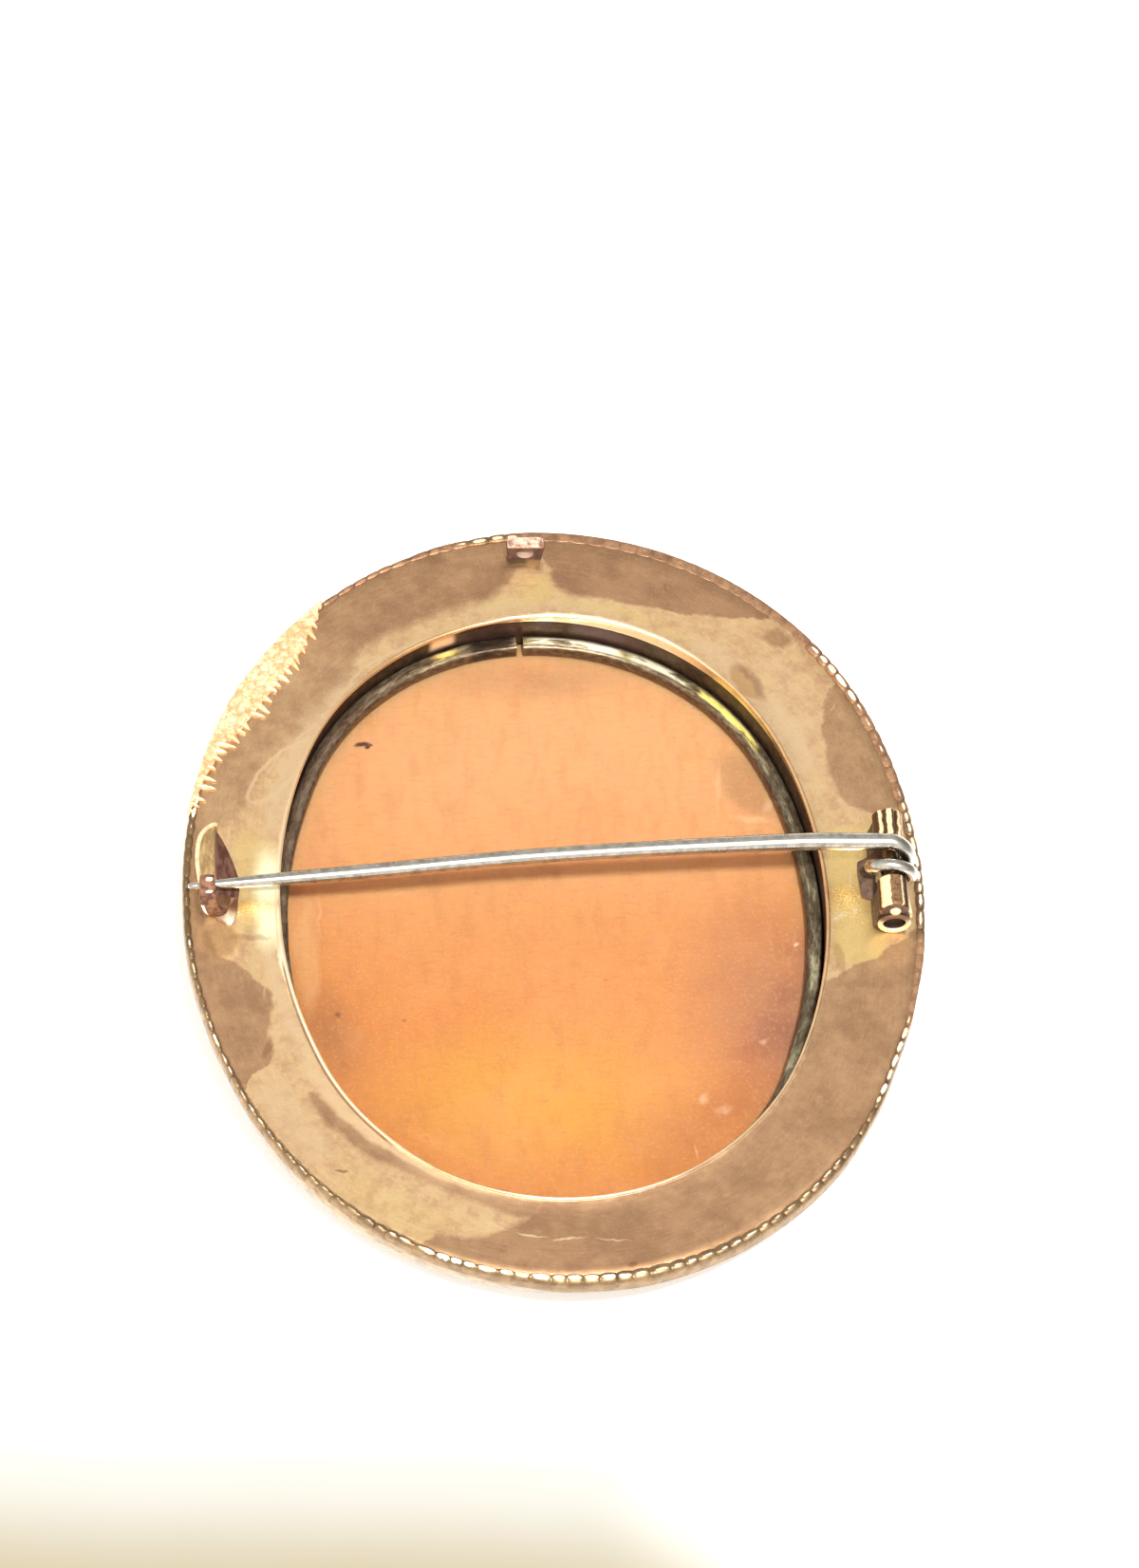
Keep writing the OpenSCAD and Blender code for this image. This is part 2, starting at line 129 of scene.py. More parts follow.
def piece(name, mesh, material, slot, node=None, body="brooch", sharp=38, **fields):
    """An object that rides on a body and may stand for a node; a field has a value for each point."""
    me = bpy.data.meshes.new(name)
    verts, faces = mesh
    me.from_pydata([Vector(v) * MM for v in verts], [], faces)
    for field, values in fields.items():
        me.attributes.new(field, "FLOAT", "POINT").data.foreach_set("value", values)
    bm = bmesh.new()
    bm.from_mesh(me)
    bmesh.ops.remove_doubles(bm, verts=bm.verts, dist=1e-7)
    bmesh.ops.recalc_face_normals(bm, faces=bm.faces)
    bm.to_mesh(me)
    bm.free()
    me.polygons.foreach_set("use_smooth", [True] * len(me.polygons))
    me.set_sharp_from_angle(angle=radians(sharp))
    me.materials.append(material)
    obj = shown(name, me)
    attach(obj, body)
    if node:
        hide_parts(node)


def shown(name, data):
    obj = bpy.data.objects.new(name, data)
    bpy.context.scene.collection.objects.link(obj)
    return obj


def loft(rows, capped=False):
    """Points and faces of a skin over closed rows: capped at both ends, or joined into a loop."""
    n, m = len(rows), len(rows[0])
    verts = [p for row in rows for p in row]
    faces = []
    for i in range(n - 1 if capped else n):
        a, b = i * m, (i + 1) % n * m
        for j in range(m):
            k = (j + 1) % m
            faces.append((a + j, b + j, b + k, a + k))
    if capped:
        faces += [tuple(range(m)), tuple(range((n - 1) * m, n * m))]
    return verts, faces


def join(parts):
    """One list of points and faces out of several."""
    verts, faces = [], []
    for v, f in parts:
        faces += [tuple(i + len(verts) for i in face) for face in f]
        verts += v
    return verts, faces


def arc(cx, cz, rx, rz, a0, a1, n):
    """Points of part of an ellipse in a section."""
    angles = [radians(a0 + (a1 - a0) * i / n) for i in range(n + 1)]
    return [(cx + rx * cos(a), cz + rz * sin(a)) for a in angles]


def turned(x, y, z, rows, n=48, squash=1.0):
    """Rings about an axis along Y through a point: the distance along it and the radius of each."""
    return [
        [Vector((x + r * cos(a), y + d, z + r * squash * sin(a))) for a in turns(n)]
        for d, r in rows
    ]


def smooth_path(points, per=12):
    """A smooth curve through the points, with so many points between each two."""
    found = []
    p = [Vector(q) for q in points]
    for i in range(len(p) - 1):
        a, b, c, d = p[max(i - 1, 0)], p[i], p[i + 1], p[min(i + 2, len(p) - 1)]
        for t in (k / per for k in range(per)):
            square = (2 * a - 5 * b + 4 * c - d) * t * t
            found.append(0.5 * ((2 * b) + (c - a) * t + square + (3 * b - a - 3 * c + d) * t**3))
    found.append(p[-1])
    return found


def tube(path, radii, n):
    """A closed round tube along a path."""
    rows = []
    side = None
    for i, (p, r) in enumerate(zip(path, radii)):
        d = (path[min(i + 1, len(path) - 1)] - path[max(i - 1, 0)]).normalized()
        if side is None:
            side = d.cross(Vector((0, 0, 1)) if abs(d.z) < 0.9 else Vector((0, 1, 0))).normalized()
        side = (side - d * side.dot(d)).normalized()
        other = d.cross(side)
        rows.append([p + (side * cos(a) + other * sin(a)) * r for a in turns(n)])
    return loft(rows, capped=True)


# ---- material helpers
def linear(colour):
    """A colour given as it is seen, from 0 to 255, as linear light."""
    return tuple(((c / 255 + 0.055) / 1.055) ** 2.4 if c > 10 else c / 255 / 12.92 for c in colour)


class Wire:
    """The output of a node, for sums that become nodes too."""

    def __init__(self, nodes, socket):
        self.nodes, self.socket = nodes, socket

    def __add__(self, other):
        return self.nodes.math("ADD", self, other)

    def __sub__(self, other):
        return self.nodes.math("SUBTRACT", self, other)

    def __rsub__(self, other):
        return self.nodes.math("SUBTRACT", other, self)

    def __mul__(self, other):
        return self.nodes.math("MULTIPLY", self, other)

    def __abs__(self):
        return self.nodes.math("ABSOLUTE", self)


class Nodes:
    """A node tree, and the steps that build it."""

    def __init__(self, tree):
        self.tree = tree

    def add(self, kind, inputs=None, **props):
        """A node with values or wires for its inputs, which go by number or name."""
        node = self.tree.nodes.new(kind)
        for key, value in props.items():
            setattr(node, key, value)
        for key, value in (inputs or {}).items():
            self.put(node.inputs[key], value)
        return node

    def wire(self, kind, inputs=None, output=0, **props):
        return Wire(self, self.add(kind, inputs, **props).outputs[output])

    def put(self, socket, value):
        if isinstance(value, Wire):
            self.tree.links.new(value.socket, socket)
        elif socket.type == "RGBA":
            socket.default_value = (*linear(value), 1)
        else:
            socket.default_value = value

    def math(self, operation, a, b=0.0, c=0.0, clamp=False):
        inputs = {0: a, 1: b, 2: c}
        return self.wire("ShaderNodeMath", inputs, operation=operation, use_clamp=clamp)

    def larger(self, a, b):
        return self.math("MAXIMUM", a, b)

    def ramp(self, value, low, high, to_low=0.0, to_high=1.0):
        inputs = dict(enumerate((value, low, high, to_low, to_high)))
        return self.wire("ShaderNodeMapRange", inputs, interpolation_type="SMOOTHSTEP")

    def split(self, vector):
        return [Wire(self, out) for out in self.add("ShaderNodeSeparateXYZ", {0: vector}).outputs]


class Look(Nodes):
    """A material whose pattern lives in object coordinates, in millimetres."""

    def __init__(self, name):
        self.mat = bpy.data.materials.new(name)
        self.mat.use_nodes = True
        super().__init__(self.mat.node_tree)
        self.tree.nodes.clear()
        self.shader = self.add("ShaderNodeBsdfPrincipled")
        self.add("ShaderNodeOutputMaterial", {0: Wire(self, self.shader.outputs[0])})
        place = self.wire("ShaderNodeTexCoord", output="Object")
        inputs = {0: place, "Scale": 1 / MM}
        self.pos = self.wire("ShaderNodeVectorMath", inputs, operation="SCALE")
        self.x, self.y, self.z = self.split(self.pos)
        self.colour = None

    def mix(self, share, a, b):
        return self.wire("ShaderNodeMix", {0: share, 6: a, 7: b}, 2, data_type="RGBA")

    def blend(self, share, a, b):
        return self.wire("ShaderNodeMix", {0: share, 2: a, 3: b}, data_type="FLOAT")

    def fade(self, value, low, high, a, b):
        """One colour where the value is low, and another where it is high."""
        return self.mix(self.ramp(value, low, high), a, b)

    def coat(self, share, tint):
        """Puts a colour over what the look's colour is so far."""
        self.colour = self.mix(share, self.colour, tint)

    def place(self, vector, location, turn, scale, kind):
        rotation = (0, 0, radians(turn))
        inputs = {0: vector or self.pos, "Location": location, "Rotation": rotation, "Scale": scale}
        return self.wire("ShaderNodeMapping", inputs, vector_type=kind)

    def noise(self, scale, detail=3.0, rough=0.5, vector=None, stretch=None, output="Fac"):
        """Noise, where stretch is a turn and a scale along each axis."""
        if stretch:
            vector = self.place(vector, (0, 0, 0), stretch[0], stretch[1:], "POINT")
        inputs = {"Vector": vector or self.pos, "Scale": scale, "Detail": detail, "Roughness": rough}
        return self.wire("ShaderNodeTexNoise", inputs, output)

    def spot(self, x, y, rx, ry, turn, soft, vector=None, deep=1000):
        """1 in an ellipse and 0 outside it, over a soft edge that is a share of its radius."""
        vector = self.place(vector, (x, y, 0), turn, (rx, ry, deep), "TEXTURE")
        ball = self.wire("ShaderNodeTexGradient", {0: vector}, "Fac", gradient_type="SPHERICAL")
        return self.ramp(ball, 0.0, soft)

    def marks(self, rows, soft, warp):
        """The most of several small ellipses, bent by noise."""
        vector = self.warped(warp)
        return reduce(self.larger, [self.spot(*row[:5], soft, vector) * row[5] for row in rows])

    def warped(self, amount, scale=1.2):
        """The position, pushed about by noise up to an amount."""
        inputs = {0: self.noise(scale, 2, output="Color"), 1: (0.5, 0.5, 0.5)}
        push = self.wire("ShaderNodeVectorMath", inputs, operation="SUBTRACT")
        inputs = {0: push, 1: (2 * amount,) * 3, 2: self.pos}
        return self.wire("ShaderNodeVectorMath", inputs, operation="MULTIPLY_ADD")

    def field(self, name):
        """A value that the mesh holds for each of its points."""
        return self.wire("ShaderNodeAttribute", output="Fac", attribute_name=name)

    def bump(self, height, strength, distance, normal=None):
        inputs = {"Strength": strength, "Distance": distance * MM, "Height": height}
        if normal:
            inputs["Normal"] = normal
        return self.wire("ShaderNodeBump", inputs)

    def done(self, metallic, rough, normal=None, **values):
        """The material, once its shader has the colour that the look has by now, and these."""
        values |= {"Base_Color": self.colour, "Metallic": metallic, "Roughness": rough}
        if normal:
            values["Normal"] = normal
        for key, value in values.items():
            self.put(self.shader.inputs[key.replace("_", " ")], value)
        return self.mat


class RimLook(Look):
    """A look that also knows the angle round the oval's centre, and u."""

    def __init__(self, name):
        super().__init__(name)
        self.angle = self.math("ARCTAN2", self.y, self.x) * (180 / pi)
        ax, ay = abs(self.x), abs(self.y)
        across = ax + SIDE_C
        side = self.length(across, ay) - SIDE_R
        end = self.length(ax, ay - END_C) - END_R
        self.u = self.blend(self.math("LESS_THAN", ay * (12 / 5), across), end, side)

    def length(self, a, b):
        return self.math("SQRT", self.math("MULTIPLY_ADD", a, a, b * b))

    def stretches(self, rows, soft=2.0, u=None, soft_u=0.3):
        """The most of several stretches of the rim: from and to angle, strength, from and to u."""
        found = []
        for a0, a1, strength, *across in rows:
            part = self.ramp(self.angle, a0 - soft, a0 + soft, 0.0, strength)
            part = part * self.ramp(self.angle, a1 - soft, a1 + soft, 1.0, 0.0)
            if across and across[0] > 0:
                part = part * self.ramp(u, across[0] - soft_u, across[0] + soft_u)
            if across:
                part = part * self.ramp(u, across[1] - soft_u, across[1] + soft_u, 1.0, 0.0)
            found.append(part)
        return reduce(self.larger, found)

    def along_rim(self, rows, top=1.0, angle=None, column=1, lift=0.0):
        """A column of a table whose rows start with an angle; top is the most it can be."""
        value = self.math("MULTIPLY_ADD", angle or self.angle, 1 / 360, 0.5)
        node = self.add("ShaderNodeFloatCurve", {"Value": value})
        curve = node.mapping.curves[0]
        spots = [((row[0] + 180) / 360, (row[column] + lift) / top) for row in rows]
        curve.points[0].location, curve.points[1].location = spots[0], spots[-1]
        for x, v in spots[1:-1]:
            curve.points.new(x, v)
        for point in curve.points:
            point.handle_type = "VECTOR"
        node.mapping.update()
        return Wire(self, node.outputs[0]) * top

    def flat(self, z=0.0, mm_per_degree=0.35):
        """A position made of millimetres along the rim, distance u and height."""
        return self.wire("ShaderNodeCombineXYZ", {0: self.angle * mm_per_degree, 1: self.u, 2: z})


# ---- what changes along the rim
# the rubbed-over edge: angle, its inner line, its crest and its outer line as u, height of its foot
EDGE_SHAPE = [
    (-180, 4.76, 4.97, 5.15, -0.95), (-170, 4.76, 4.97, 5.17, -0.95), (-157, 4.66, 4.86, 5.04, -0.8),
    (-148, 4.54, 4.78, 4.95, -0.6), (-138, 4.48, 4.7, 4.9, -0.5), (-125, 4.45, 4.66, 4.9, -0.5),
    (-115, 4.5, 4.78, 5.0, -0.6), (-108, 4.62, 4.9, 5.1, -0.75), (-100, 4.7, 4.93, 5.17, -0.85),
    (-90, 4.72, 4.98, 5.38, -0.95), (-80, 4.75, 5.15, 5.45, -1.0), (-70, 4.8, 5.16, 5.42, -0.95),
    (-60, 4.8, 5.06, 5.36, -0.95), (-50, 4.8, 5.0, 5.33, -0.92), (-40, 4.78, 4.92, 5.18, -0.9),
    (-30, 4.8, 4.99, 5.16, -0.9), (-20, 5.0, 5.15, 5.33, -0.95), (-8, 5.0, 5.25, 5.5, -0.95),
    (5, 5.02, 5.35, 5.6, -0.95), (45, 5.05, 5.4, 5.72, -0.95), (70, 5.1, 5.45, 5.76, -0.95),
    (90, 5.1, 5.45, 5.74, -0.95), (100, 5.05, 5.3, 5.56, -0.95), (110, 4.95, 5.15, 5.32, -0.95),
    (120, 4.85, 5.05, 5.2, -0.95), (135, 4.8, 4.95, 5.1, -0.95), (158, 4.8, 4.95, 5.18, -0.95),
    (168, 4.76, 5.0, 5.2, -0.95), (180, 4.76, 4.97, 5.15, -0.95),
]
# how high the beads stand: angle, share
LIFT = [
    (-180, 0.5), (-160, 0.8), (-150, 1), (-50, 1), (-44, 0.6), (-37, 0.6), (-34, 1), (-25, 1),
    (-20, 0.15), (-10, 0.15), (0, 1), (14, 1), (19, 0.4), (33, 0.4), (36, 0.6), (45, 0.6), (51, 0.08),
    (91, 0.08), (94, 0.5), (98, 0.5), (101, 0.3), (120, 0.4), (165, 0.5), (180, 0.5),
]
# how dark the gaps between the beads are: angle, share
GAPS = [
    (-180, 0.4), (-112, 0.35), (-104, 0.25), (-84, 0.25), (-72, 0.4), (-62, 0.7), (-45, 0.9),
    (-42, 0.4), (-37, 0.5), (-35, 1), (-24, 1), (-20, 0.2), (-10, 0.2), (-3, 1), (14, 1), (19, 0.5),
    (48, 0.5), (56, 0.35), (98, 0.4), (101, 0.9), (120, 0.9), (165, 0.4), (180, 0.4),
]
# how much of each bead is polished and carries a painted highlight: angle, share
POLISH_AND_SHEEN = [
    (-180, 0.12), (-176, 0.05), (-173, 0.25), (-168, 0.25), (-162, 0.15), (-158, 0.35), (-149, 0.35),
    (-147, 0.1), (-145, 0.4), (-140, 0.4), (-138, 0.25), (-128, 0.22), (-116, 0.22), (-111, 0.5),
    (-108, 0.8), (-104, 0.75), (-84, 0.7), (-79, 0.4), (-66, 0.28), (-62, 0.25), (-56, 0.28),
    (-48, 0.35), (-45, 0.05), (-38, 0.05), (-36, 0.6), (-24, 0.6), (-21, 0.1), (-8, 0.1), (-3, 0.5),
    (14, 0.5), (20, 0.15), (34, 0.25), (37, 0.65), (44, 0.65), (48, 0.1), (90, 0.0), (93, 0.5),
    (98, 0.5), (101, 0.0), (120, 0.0), (124, 0.5), (163, 0.5), (167, 0.0), (176, 0.1), (180, 0.15),
]
# how dark the seam inside the rubbed-over edge is, grime and painted shade: angle, share
SEAM = [
    (-180, 0.3), (-152, 0.3), (-148, 0.9), (-126, 1), (-104, 0.9), (-101, 0.3), (-92, 0.0),
    (-88, 0.1), (-84, 0.6), (-81, 0.6), (-79, 0.0), (-74, 0.0), (-73, 0.9), (-66, 0.9), (-64, 0.0),
    (-58, 0.3), (-48, 0.6), (-45, 0.0), (-37, 0.0), (-33, 0.5), (-26, 0.5), (-22, 0.0), (164, 0.0),
    (168, 0.3), (180, 0.3),
]
# the lip round the opening: angle, its inner and its outer edge as u, how brightly it is polished and
# lit, a painted highlight
LIP = [
    (-180, -0.3, 0.0, 0.5), (-172, -0.28, 0.08, 0.6), (-167, -0.26, 0.16, 0.95),
    (-160, -0.26, 0.06, 1.0), (-150, -0.28, -0.02, 1.0), (-125, -0.26, 0.0, 0.85),
    (-118, -0.2, 0.02, 0.5), (-114, -0.14, 0.05, 0.25), (-103, -0.1, 0.08, 0.2), (-97, -0.1, 0.1, 0.5),
    (-92, -0.1, 0.12, 0.7), (-73, -0.08, 0.12, 0.7), (-67, -0.08, 0.1, 0.45), (-62, -0.1, 0.08, 0.5),
    (-50, -0.12, 0.06, 0.5), (-34, -0.1, 0.08, 0.45), (-26, -0.08, 0.12, 0.35),
    (-10, -0.06, 0.16, 0.2), (10, -0.08, 0.15, 0.1), (40, -0.05, 0.15, 0.15), (54, 0.0, 0.2, 0.3),
    (60, 0.05, 0.28, 0.5), (66, 0.08, 0.34, 0.85), (78, 0.04, 0.34, 0.95), (86, -0.06, 0.24, 0.95),
    (93, -0.18, 0.1, 0.7), (100, -0.3, -0.08, 0.4), (106, -0.36, -0.12, 0.05),
    (120, -0.38, -0.12, 0.0), (127, -0.34, -0.1, 0.1), (135, -0.3, -0.08, 0.25),
    (150, -0.28, -0.06, 0.4), (168, -0.3, -0.02, 0.6), (180, -0.3, 0.0, 0.5),
]
# the tarnished part of the plate: angle, distance u from which it reaches out to the edge
TARNISH = [
    (-180, 4.0), (-175, 3.8), (-170, 3.4), (-169, 3.1), (-168, 2.6), (-165, 1.9), (-162, 1.2),
    (-160, 1.0), (-158, 1.2), (-155, 1.6), (-152, 2.0), (-149, 2.1), (-147, 2.7), (-146, 6), (-112, 6),
    (-111, 4.4), (-110, 3.7), (-105, 3.3), (-102, 2.7), (-100, 2.1), (-97, 1.5), (-94, 0), (-19, 0.1),
    (-15.5, 1.5), (-12, 2.8), (-8.5, 3.9), (-5.5, 5), (-5, 6), (15.5, 6), (17, 3.2), (19, 2.3),
    (22, 2.05), (26, 1.9), (30, 2.1), (35, 2.8), (38, 3.7), (40, 4.5), (41, 6), (53, 6), (54, 4.9),
    (56, 4.3), (60, 3.4), (63, 2.9), (66, 2.3), (70, 2.0), (75, 1.7), (80, 1.6), (84, 1.5), (86, 2.0),
    (87.5, 3.0), (89.5, 5), (91, 5), (93.5, 2.4), (97, 1.3), (108, 1.1), (120, 1.2), (124, 0.9),
    (125, 0.3), (128, 0.3), (131, 0.6), (140, 0.9), (144, 1.2), (150, 1.7), (160, 2.4), (164, 3.4),
    (167, 3.9), (180, 4.0),
]
# how dark it is, and how soft it ends in millimetres: angle, value
DEPTH = [
    (-180, 0.9), (-169, 0.9), (-146, 0.9), (-112, 0.75), (-100, 0.95), (-80, 0.97), (-60, 0.88),
    (-20, 0.85), (17, 0.75), (41, 0.75), (53, 1.0), (87, 1.0), (94, 0.9), (120, 0.9), (128, 0.65),
    (150, 0.65), (164, 0.65), (168, 0.9), (180, 0.9),
]
SOFT = [
    (-180, 0.4), (-169, 0.15), (-146, 0.15), (-140, 0.5), (-112, 0.3), (-95, 0.3), (-16, 0.12),
    (15, 0.2), (30, 0.2), (41, 0.15), (53, 0.12), (80, 0.15), (86, 0.5), (96, 0.5), (122, 0.5),
    (140, 0.7), (180, 0.4),
]
# a browner band near the opening: angle, its inner or its outer distance
BAND_IN = [
    (-180, 6), (-141, 6), (-140, 1.2), (-137, 0.9), (-133, 0.75), (-128, 0.6), (-120, 0.4),
    (-102, 0.25), (-94, 0.2), (-92, 6), (180, 6),
]
BAND_OUT = [
    (-180, 0), (-141, 0), (-140, 1.4), (-137, 1.7), (-133, 1.75), (-128, 1.6), (-120, 1.25),
    (-112, 1.05), (-104, 1.1), (-98, 1.4), (-94, 1.6), (-92, 0), (180, 0),
]
REACH = 6  # more than any distance in these tables
# polished yellow parts, cream ones that are polish with a painted highlight, and pinker ones: from and to
# angle, strength, from and to u
GOLD = [
    (164, 181, 0.5, 0.5, 2.4), (-181, -174, 0.5, 0.5, 2.2), (-14, 15, 0.8, 0.3, 3.4),
    (-125, -108, 0.2, 2.3, 4.3), (87, 92, 0.6, 0.8, 2.6), (62, 100, 0.4, 0.75, 1.3),
    (104.3, 106.2, 0.25, 1.4, 3.4), (165, 181, 0.5, 3.2, 4.6),
]
CREAM = [(168, 181, 1.0, 0, 1.1), (-181, -171, 1.0, 0, 1.1)]
ROSY = [
    (28, 62, 0.7, 0.2, 1.6), (-147, -100, 0.8, 0.2, 0.8), (125, 164, 0.7, 0, 0.9),
    (76, 102, 0.7, 0.5, 1.2), (-146, -130, 0.5, 2.2, 4.2), (17, 52, 0.3, 1.9, 3.4),
    (-170, -148, 0.8, 0.2, 0.9),
]
# pale marks on the plate: across, up, half length, half width, turn, strength
SCRATCHES = [
    (-13.4, 11.3, 1.1, 0.12, 40, 0.4), (-10.0, 16.4, 1.2, 0.12, 62, 0.25),
    (-15.3, 9.2, 1.6, 0.12, 62, 0.35), (-4.1, -20.6, 1.0, 0.08, -25, 0.45),
    (-2.2, -21.25, 1.2, 0.08, -12, 0.6), (-0.2, -21.5, 1.2, 0.09, 4, 0.6),
    (2.3, -21.6, 1.2, 0.07, -4, 0.5), (16.7, 12.6, 0.45, 0.05, 65, 0.5),
    (14.9, 16.9, 0.5, 0.05, 40, 0.8), (14.2, 16.5, 0.35, 0.05, -10, 0.7),
    (16.1, -1.2, 0.7, 0.2, 30, 1.0), (17.0, -0.9, 0.3, 0.14, 80, 1.0),
    (16.9, 1.1, 0.9, 0.1, 86, 0.6), (11.2, 16.9, 0.9, 0.08, -35, 0.4), (-16.3, -5.5, 0.8, 0.1, 80, 0.3),
]
# dark marks, a lighter middle in one of them, and where the plate is dull and darker beside the fittings,
# partly a painted reflection of them
DENTS = [
    (12.0, 14.4, 1.75, 0.72, -58, 0.6), (13.8, 17.3, 1.0, 0.8, -30, 0.5),
    (-12.5, -17.05, 0.6, 0.06, -6, 0.7), (-17.0, -2.1, 1.5, 0.25, 0, 0.35),
    (3.3, -23.2, 0.4, 0.15, 20, 0.8), (7.6, 20.9, 0.1, 0.5, 10, 0.4),
    (-16.2, -9.2, 0.28, 0.9, -12, 0.5), (16.0, -4.0, 0.35, 1.5, 10, 0.3),
]
MIDDLES = [(11.72, 14.3, 1.5, 0.55, -58, 1.0)]
FILMS_AND_REFLECTIONS = [
    (18.9, -3.3, 1.8, 1.4, 0, 0.6), (-0.4, 21.7, 1.6, 0.8, 0, 0.45), (-18.6, -2.2, 1.5, 1.8, 0, 0.9),
]
# pale closed lines: across, up, half length, half width, turn
LOOPS = [(-8.1, 15.95, 3.2, 0.8, 30), (-15.0, 8.7, 2.8, 1.0, 50)]
# how wide the ring is: angle, share of its full width
RING_WIDE = [
    (-180, 0.8), (-172, 0.72), (-160, 0.62), (-140, 0.5), (-100, 0.5), (-60, 0.55), (-45, 0.75),
    (-30, 0.95), (-10, 1.0), (20, 1.02), (100, 1.02), (150, 0.95), (180, 0.8),
]


# ---- looks
def plate_look():
    """Satin gold, brown with tarnish along its edge, yellow and cream where it is still polished; a
    painted highlight on the lip and the cream parts, painted shade in the seam, and partly a painted
    reflection of the fittings beside them.
    """
    k = RimLook("plate_gold")
    u, tan, pale_tan = k.u, (240, 196, 146), (255, 216, 164)
    brown_low, brown_high = (168, 128, 97), (188, 146, 111)
    u_bent = u + (k.noise(0.55, 5, 0.6) - 0.5) * 0.9
    a_bent = k.angle + (k.noise(0.8, 4, 0.6, stretch=(70, 1, 1, 1)) - 0.5) * 3.5
    cloud = k.noise(0.5)
    mottle = k.noise(1.3, 6, 0.62)
    fine = k.noise(7.0, 4, 0.7)
    brushed = k.noise(2.2, 4, 0.65, k.flat(), (0, 0.5, 2.5, 1))
    # the bare metal
    k.colour = k.fade(brushed * 0.6 + cloud * 0.4, 0.38, 0.62, tan, pale_tan)
    k.coat(k.ramp(u, 2.4, 0.4, 0.0, 0.4), pale_tan)
    k.coat(k.ramp(mottle, 0.48, 0.64, 0.0, 0.55), (224, 176, 138))
    k.coat(k.ramp(mottle, 0.48, 0.36, 0.0, 0.5), (255, 222, 166))
    k.coat(k.ramp(k.noise(3.2, 4, 0.65), 0.52, 0.7) * 0.5, (255, 234, 186))
    k.coat(k.stretches(ROSY, 3.0, u_bent, 0.35), (255, 220, 176))
    k.coat(k.stretches(GOLD, 2.0, u_bent, 0.35), (255, 224, 146))
    # cream: polish with a painted highlight along the opening on the left
    cream = k.stretches(CREAM, 4.0, u_bent, 0.5)
    k.coat(cream, (255, 250, 206))
    # the tarnish, and a darker line along its end
    soft = k.along_rim(SOFT)
    edge = u_bent - k.along_rim(TARNISH, REACH, a_bent)
    brown = k.ramp(k.math("DIVIDE", edge + soft, soft * 2.0, clamp=True), 0, 1) * k.along_rim(DEPTH)
    band = k.ramp(u_bent - k.along_rim(BAND_IN, REACH, a_bent), -0.15, 0.2)
    band = band * k.ramp(k.along_rim(BAND_OUT, REACH, a_bent) - u_bent, -0.15, 0.3)
    brown = k.math("ADD", k.larger(brown, band * 0.85), (mottle - 0.48) * 0.6, clamp=True)
    brown = brown * k.math("MULTIPLY_ADD", cream, -0.9, 1.0)
    dark = k.fade(cloud + brushed * 0.5, 0.6, 0.9, brown_low, brown_high)
    k.coat(brown, dark)
    rim = (1.0 - k.ramp(abs(edge), 0.0, 0.16)) * k.ramp(soft, 0.2, 0.1, 0.0, 0.3)
    k.coat(rim, (150, 108, 78))
    k.coat(k.ramp(fine, 0.45, 0.75, 0.0, 0.3), brown_low)
    k.coat(k.ramp(fine, 0.5, 0.25, 0.0, 0.3), (255, 222, 170))
    # marks
    k.coat(k.marks(DENTS, 0.5, 0.3), (146, 100, 72))
    k.coat(k.marks(MIDDLES, 0.4, 0.3), (226, 182, 132))
    for x, y, rx, ry, turn in LOOPS:
        bent = k.warped(0.25)
        outer = k.spot(x, y, rx, ry, turn, 0.12, bent)
        inner = k.spot(x, y, rx * 0.92, ry * 0.76, turn, 0.1, bent)
        loop = k.math("SUBTRACT", outer, inner, clamp=True)
        k.coat(loop * 0.6, (255, 222, 178))
    k.coat(k.marks(SCRATCHES, 0.7, 0.25), (255, 232, 186))
    # the seam along the rubbed-over edge: grime and painted shade in the crevice
    seam = (u - k.along_rim(EDGE_SHAPE, REACH)) + (mottle - 0.5) * 0.25
    seam = k.ramp(seam, -0.11, -0.03) * k.along_rim(SEAM) * k.ramp(fine, 0.35, 0.55, 0.3, 0.75)
    k.coat(seam, (124, 98, 56))
    # the lip with its painted highlight, and a dark line along its inner edge
    inner, outer = (k.along_rim(LIP, 3, column=column, lift=1) for column in (1, 2))
    ragged = (k.noise(1.6, 4, 0.7, k.flat()) - 0.5) * 0.3
    lip = k.ramp(u + ragged + 1.0 - outer, 0.08, -0.04)
    wear_and_sheen = k.ramp(k.noise(0.9, 3, 0.6, k.flat()), 0.25, 0.45, 0.6, 1.0)
    shine = k.along_rim(LIP, column=3) * wear_and_sheen
    line = k.ramp(abs(u + 1.0 - inner - 0.26), 0.09, 0.03)
    line = line * k.stretches([(-166, -122, 0.8), (-90, -70, 0.3)])
    k.coat(lip * shine, (255, 238, 204))
    k.coat(lip * ((1.0 - shine) * 0.4), (200, 156, 106))
    k.coat(line, (130, 86, 56))
    # darker, duller plate beside the hinge, the lug and the catch: partly a painted reflection of these
    # fittings
    film_and_reflection = k.marks(FILMS_AND_REFLECTIONS, 0.5, 0.3)
    k.coat(film_and_reflection * 0.8, (146, 116, 78))
    rough = k.blend(lip, k.blend(brown, 0.3, 0.4) + (fine - 0.5) * 0.25, 0.28)
    normal = k.bump(brushed * 0.6 + k.noise(22.0, 2) * 0.25, 0.3, 0.03)
    normal = k.bump(k.noise(0.3), 0.5, 0.12, normal)
    # the painted highlight on the lip and the cream parts is made whiter by making them less metallic
    white = k.larger(lip * shine, cream * 0.9) * 0.35
    return k.done(1.0 - white, k.blend(film_and_reflection, rough, 0.8), normal)


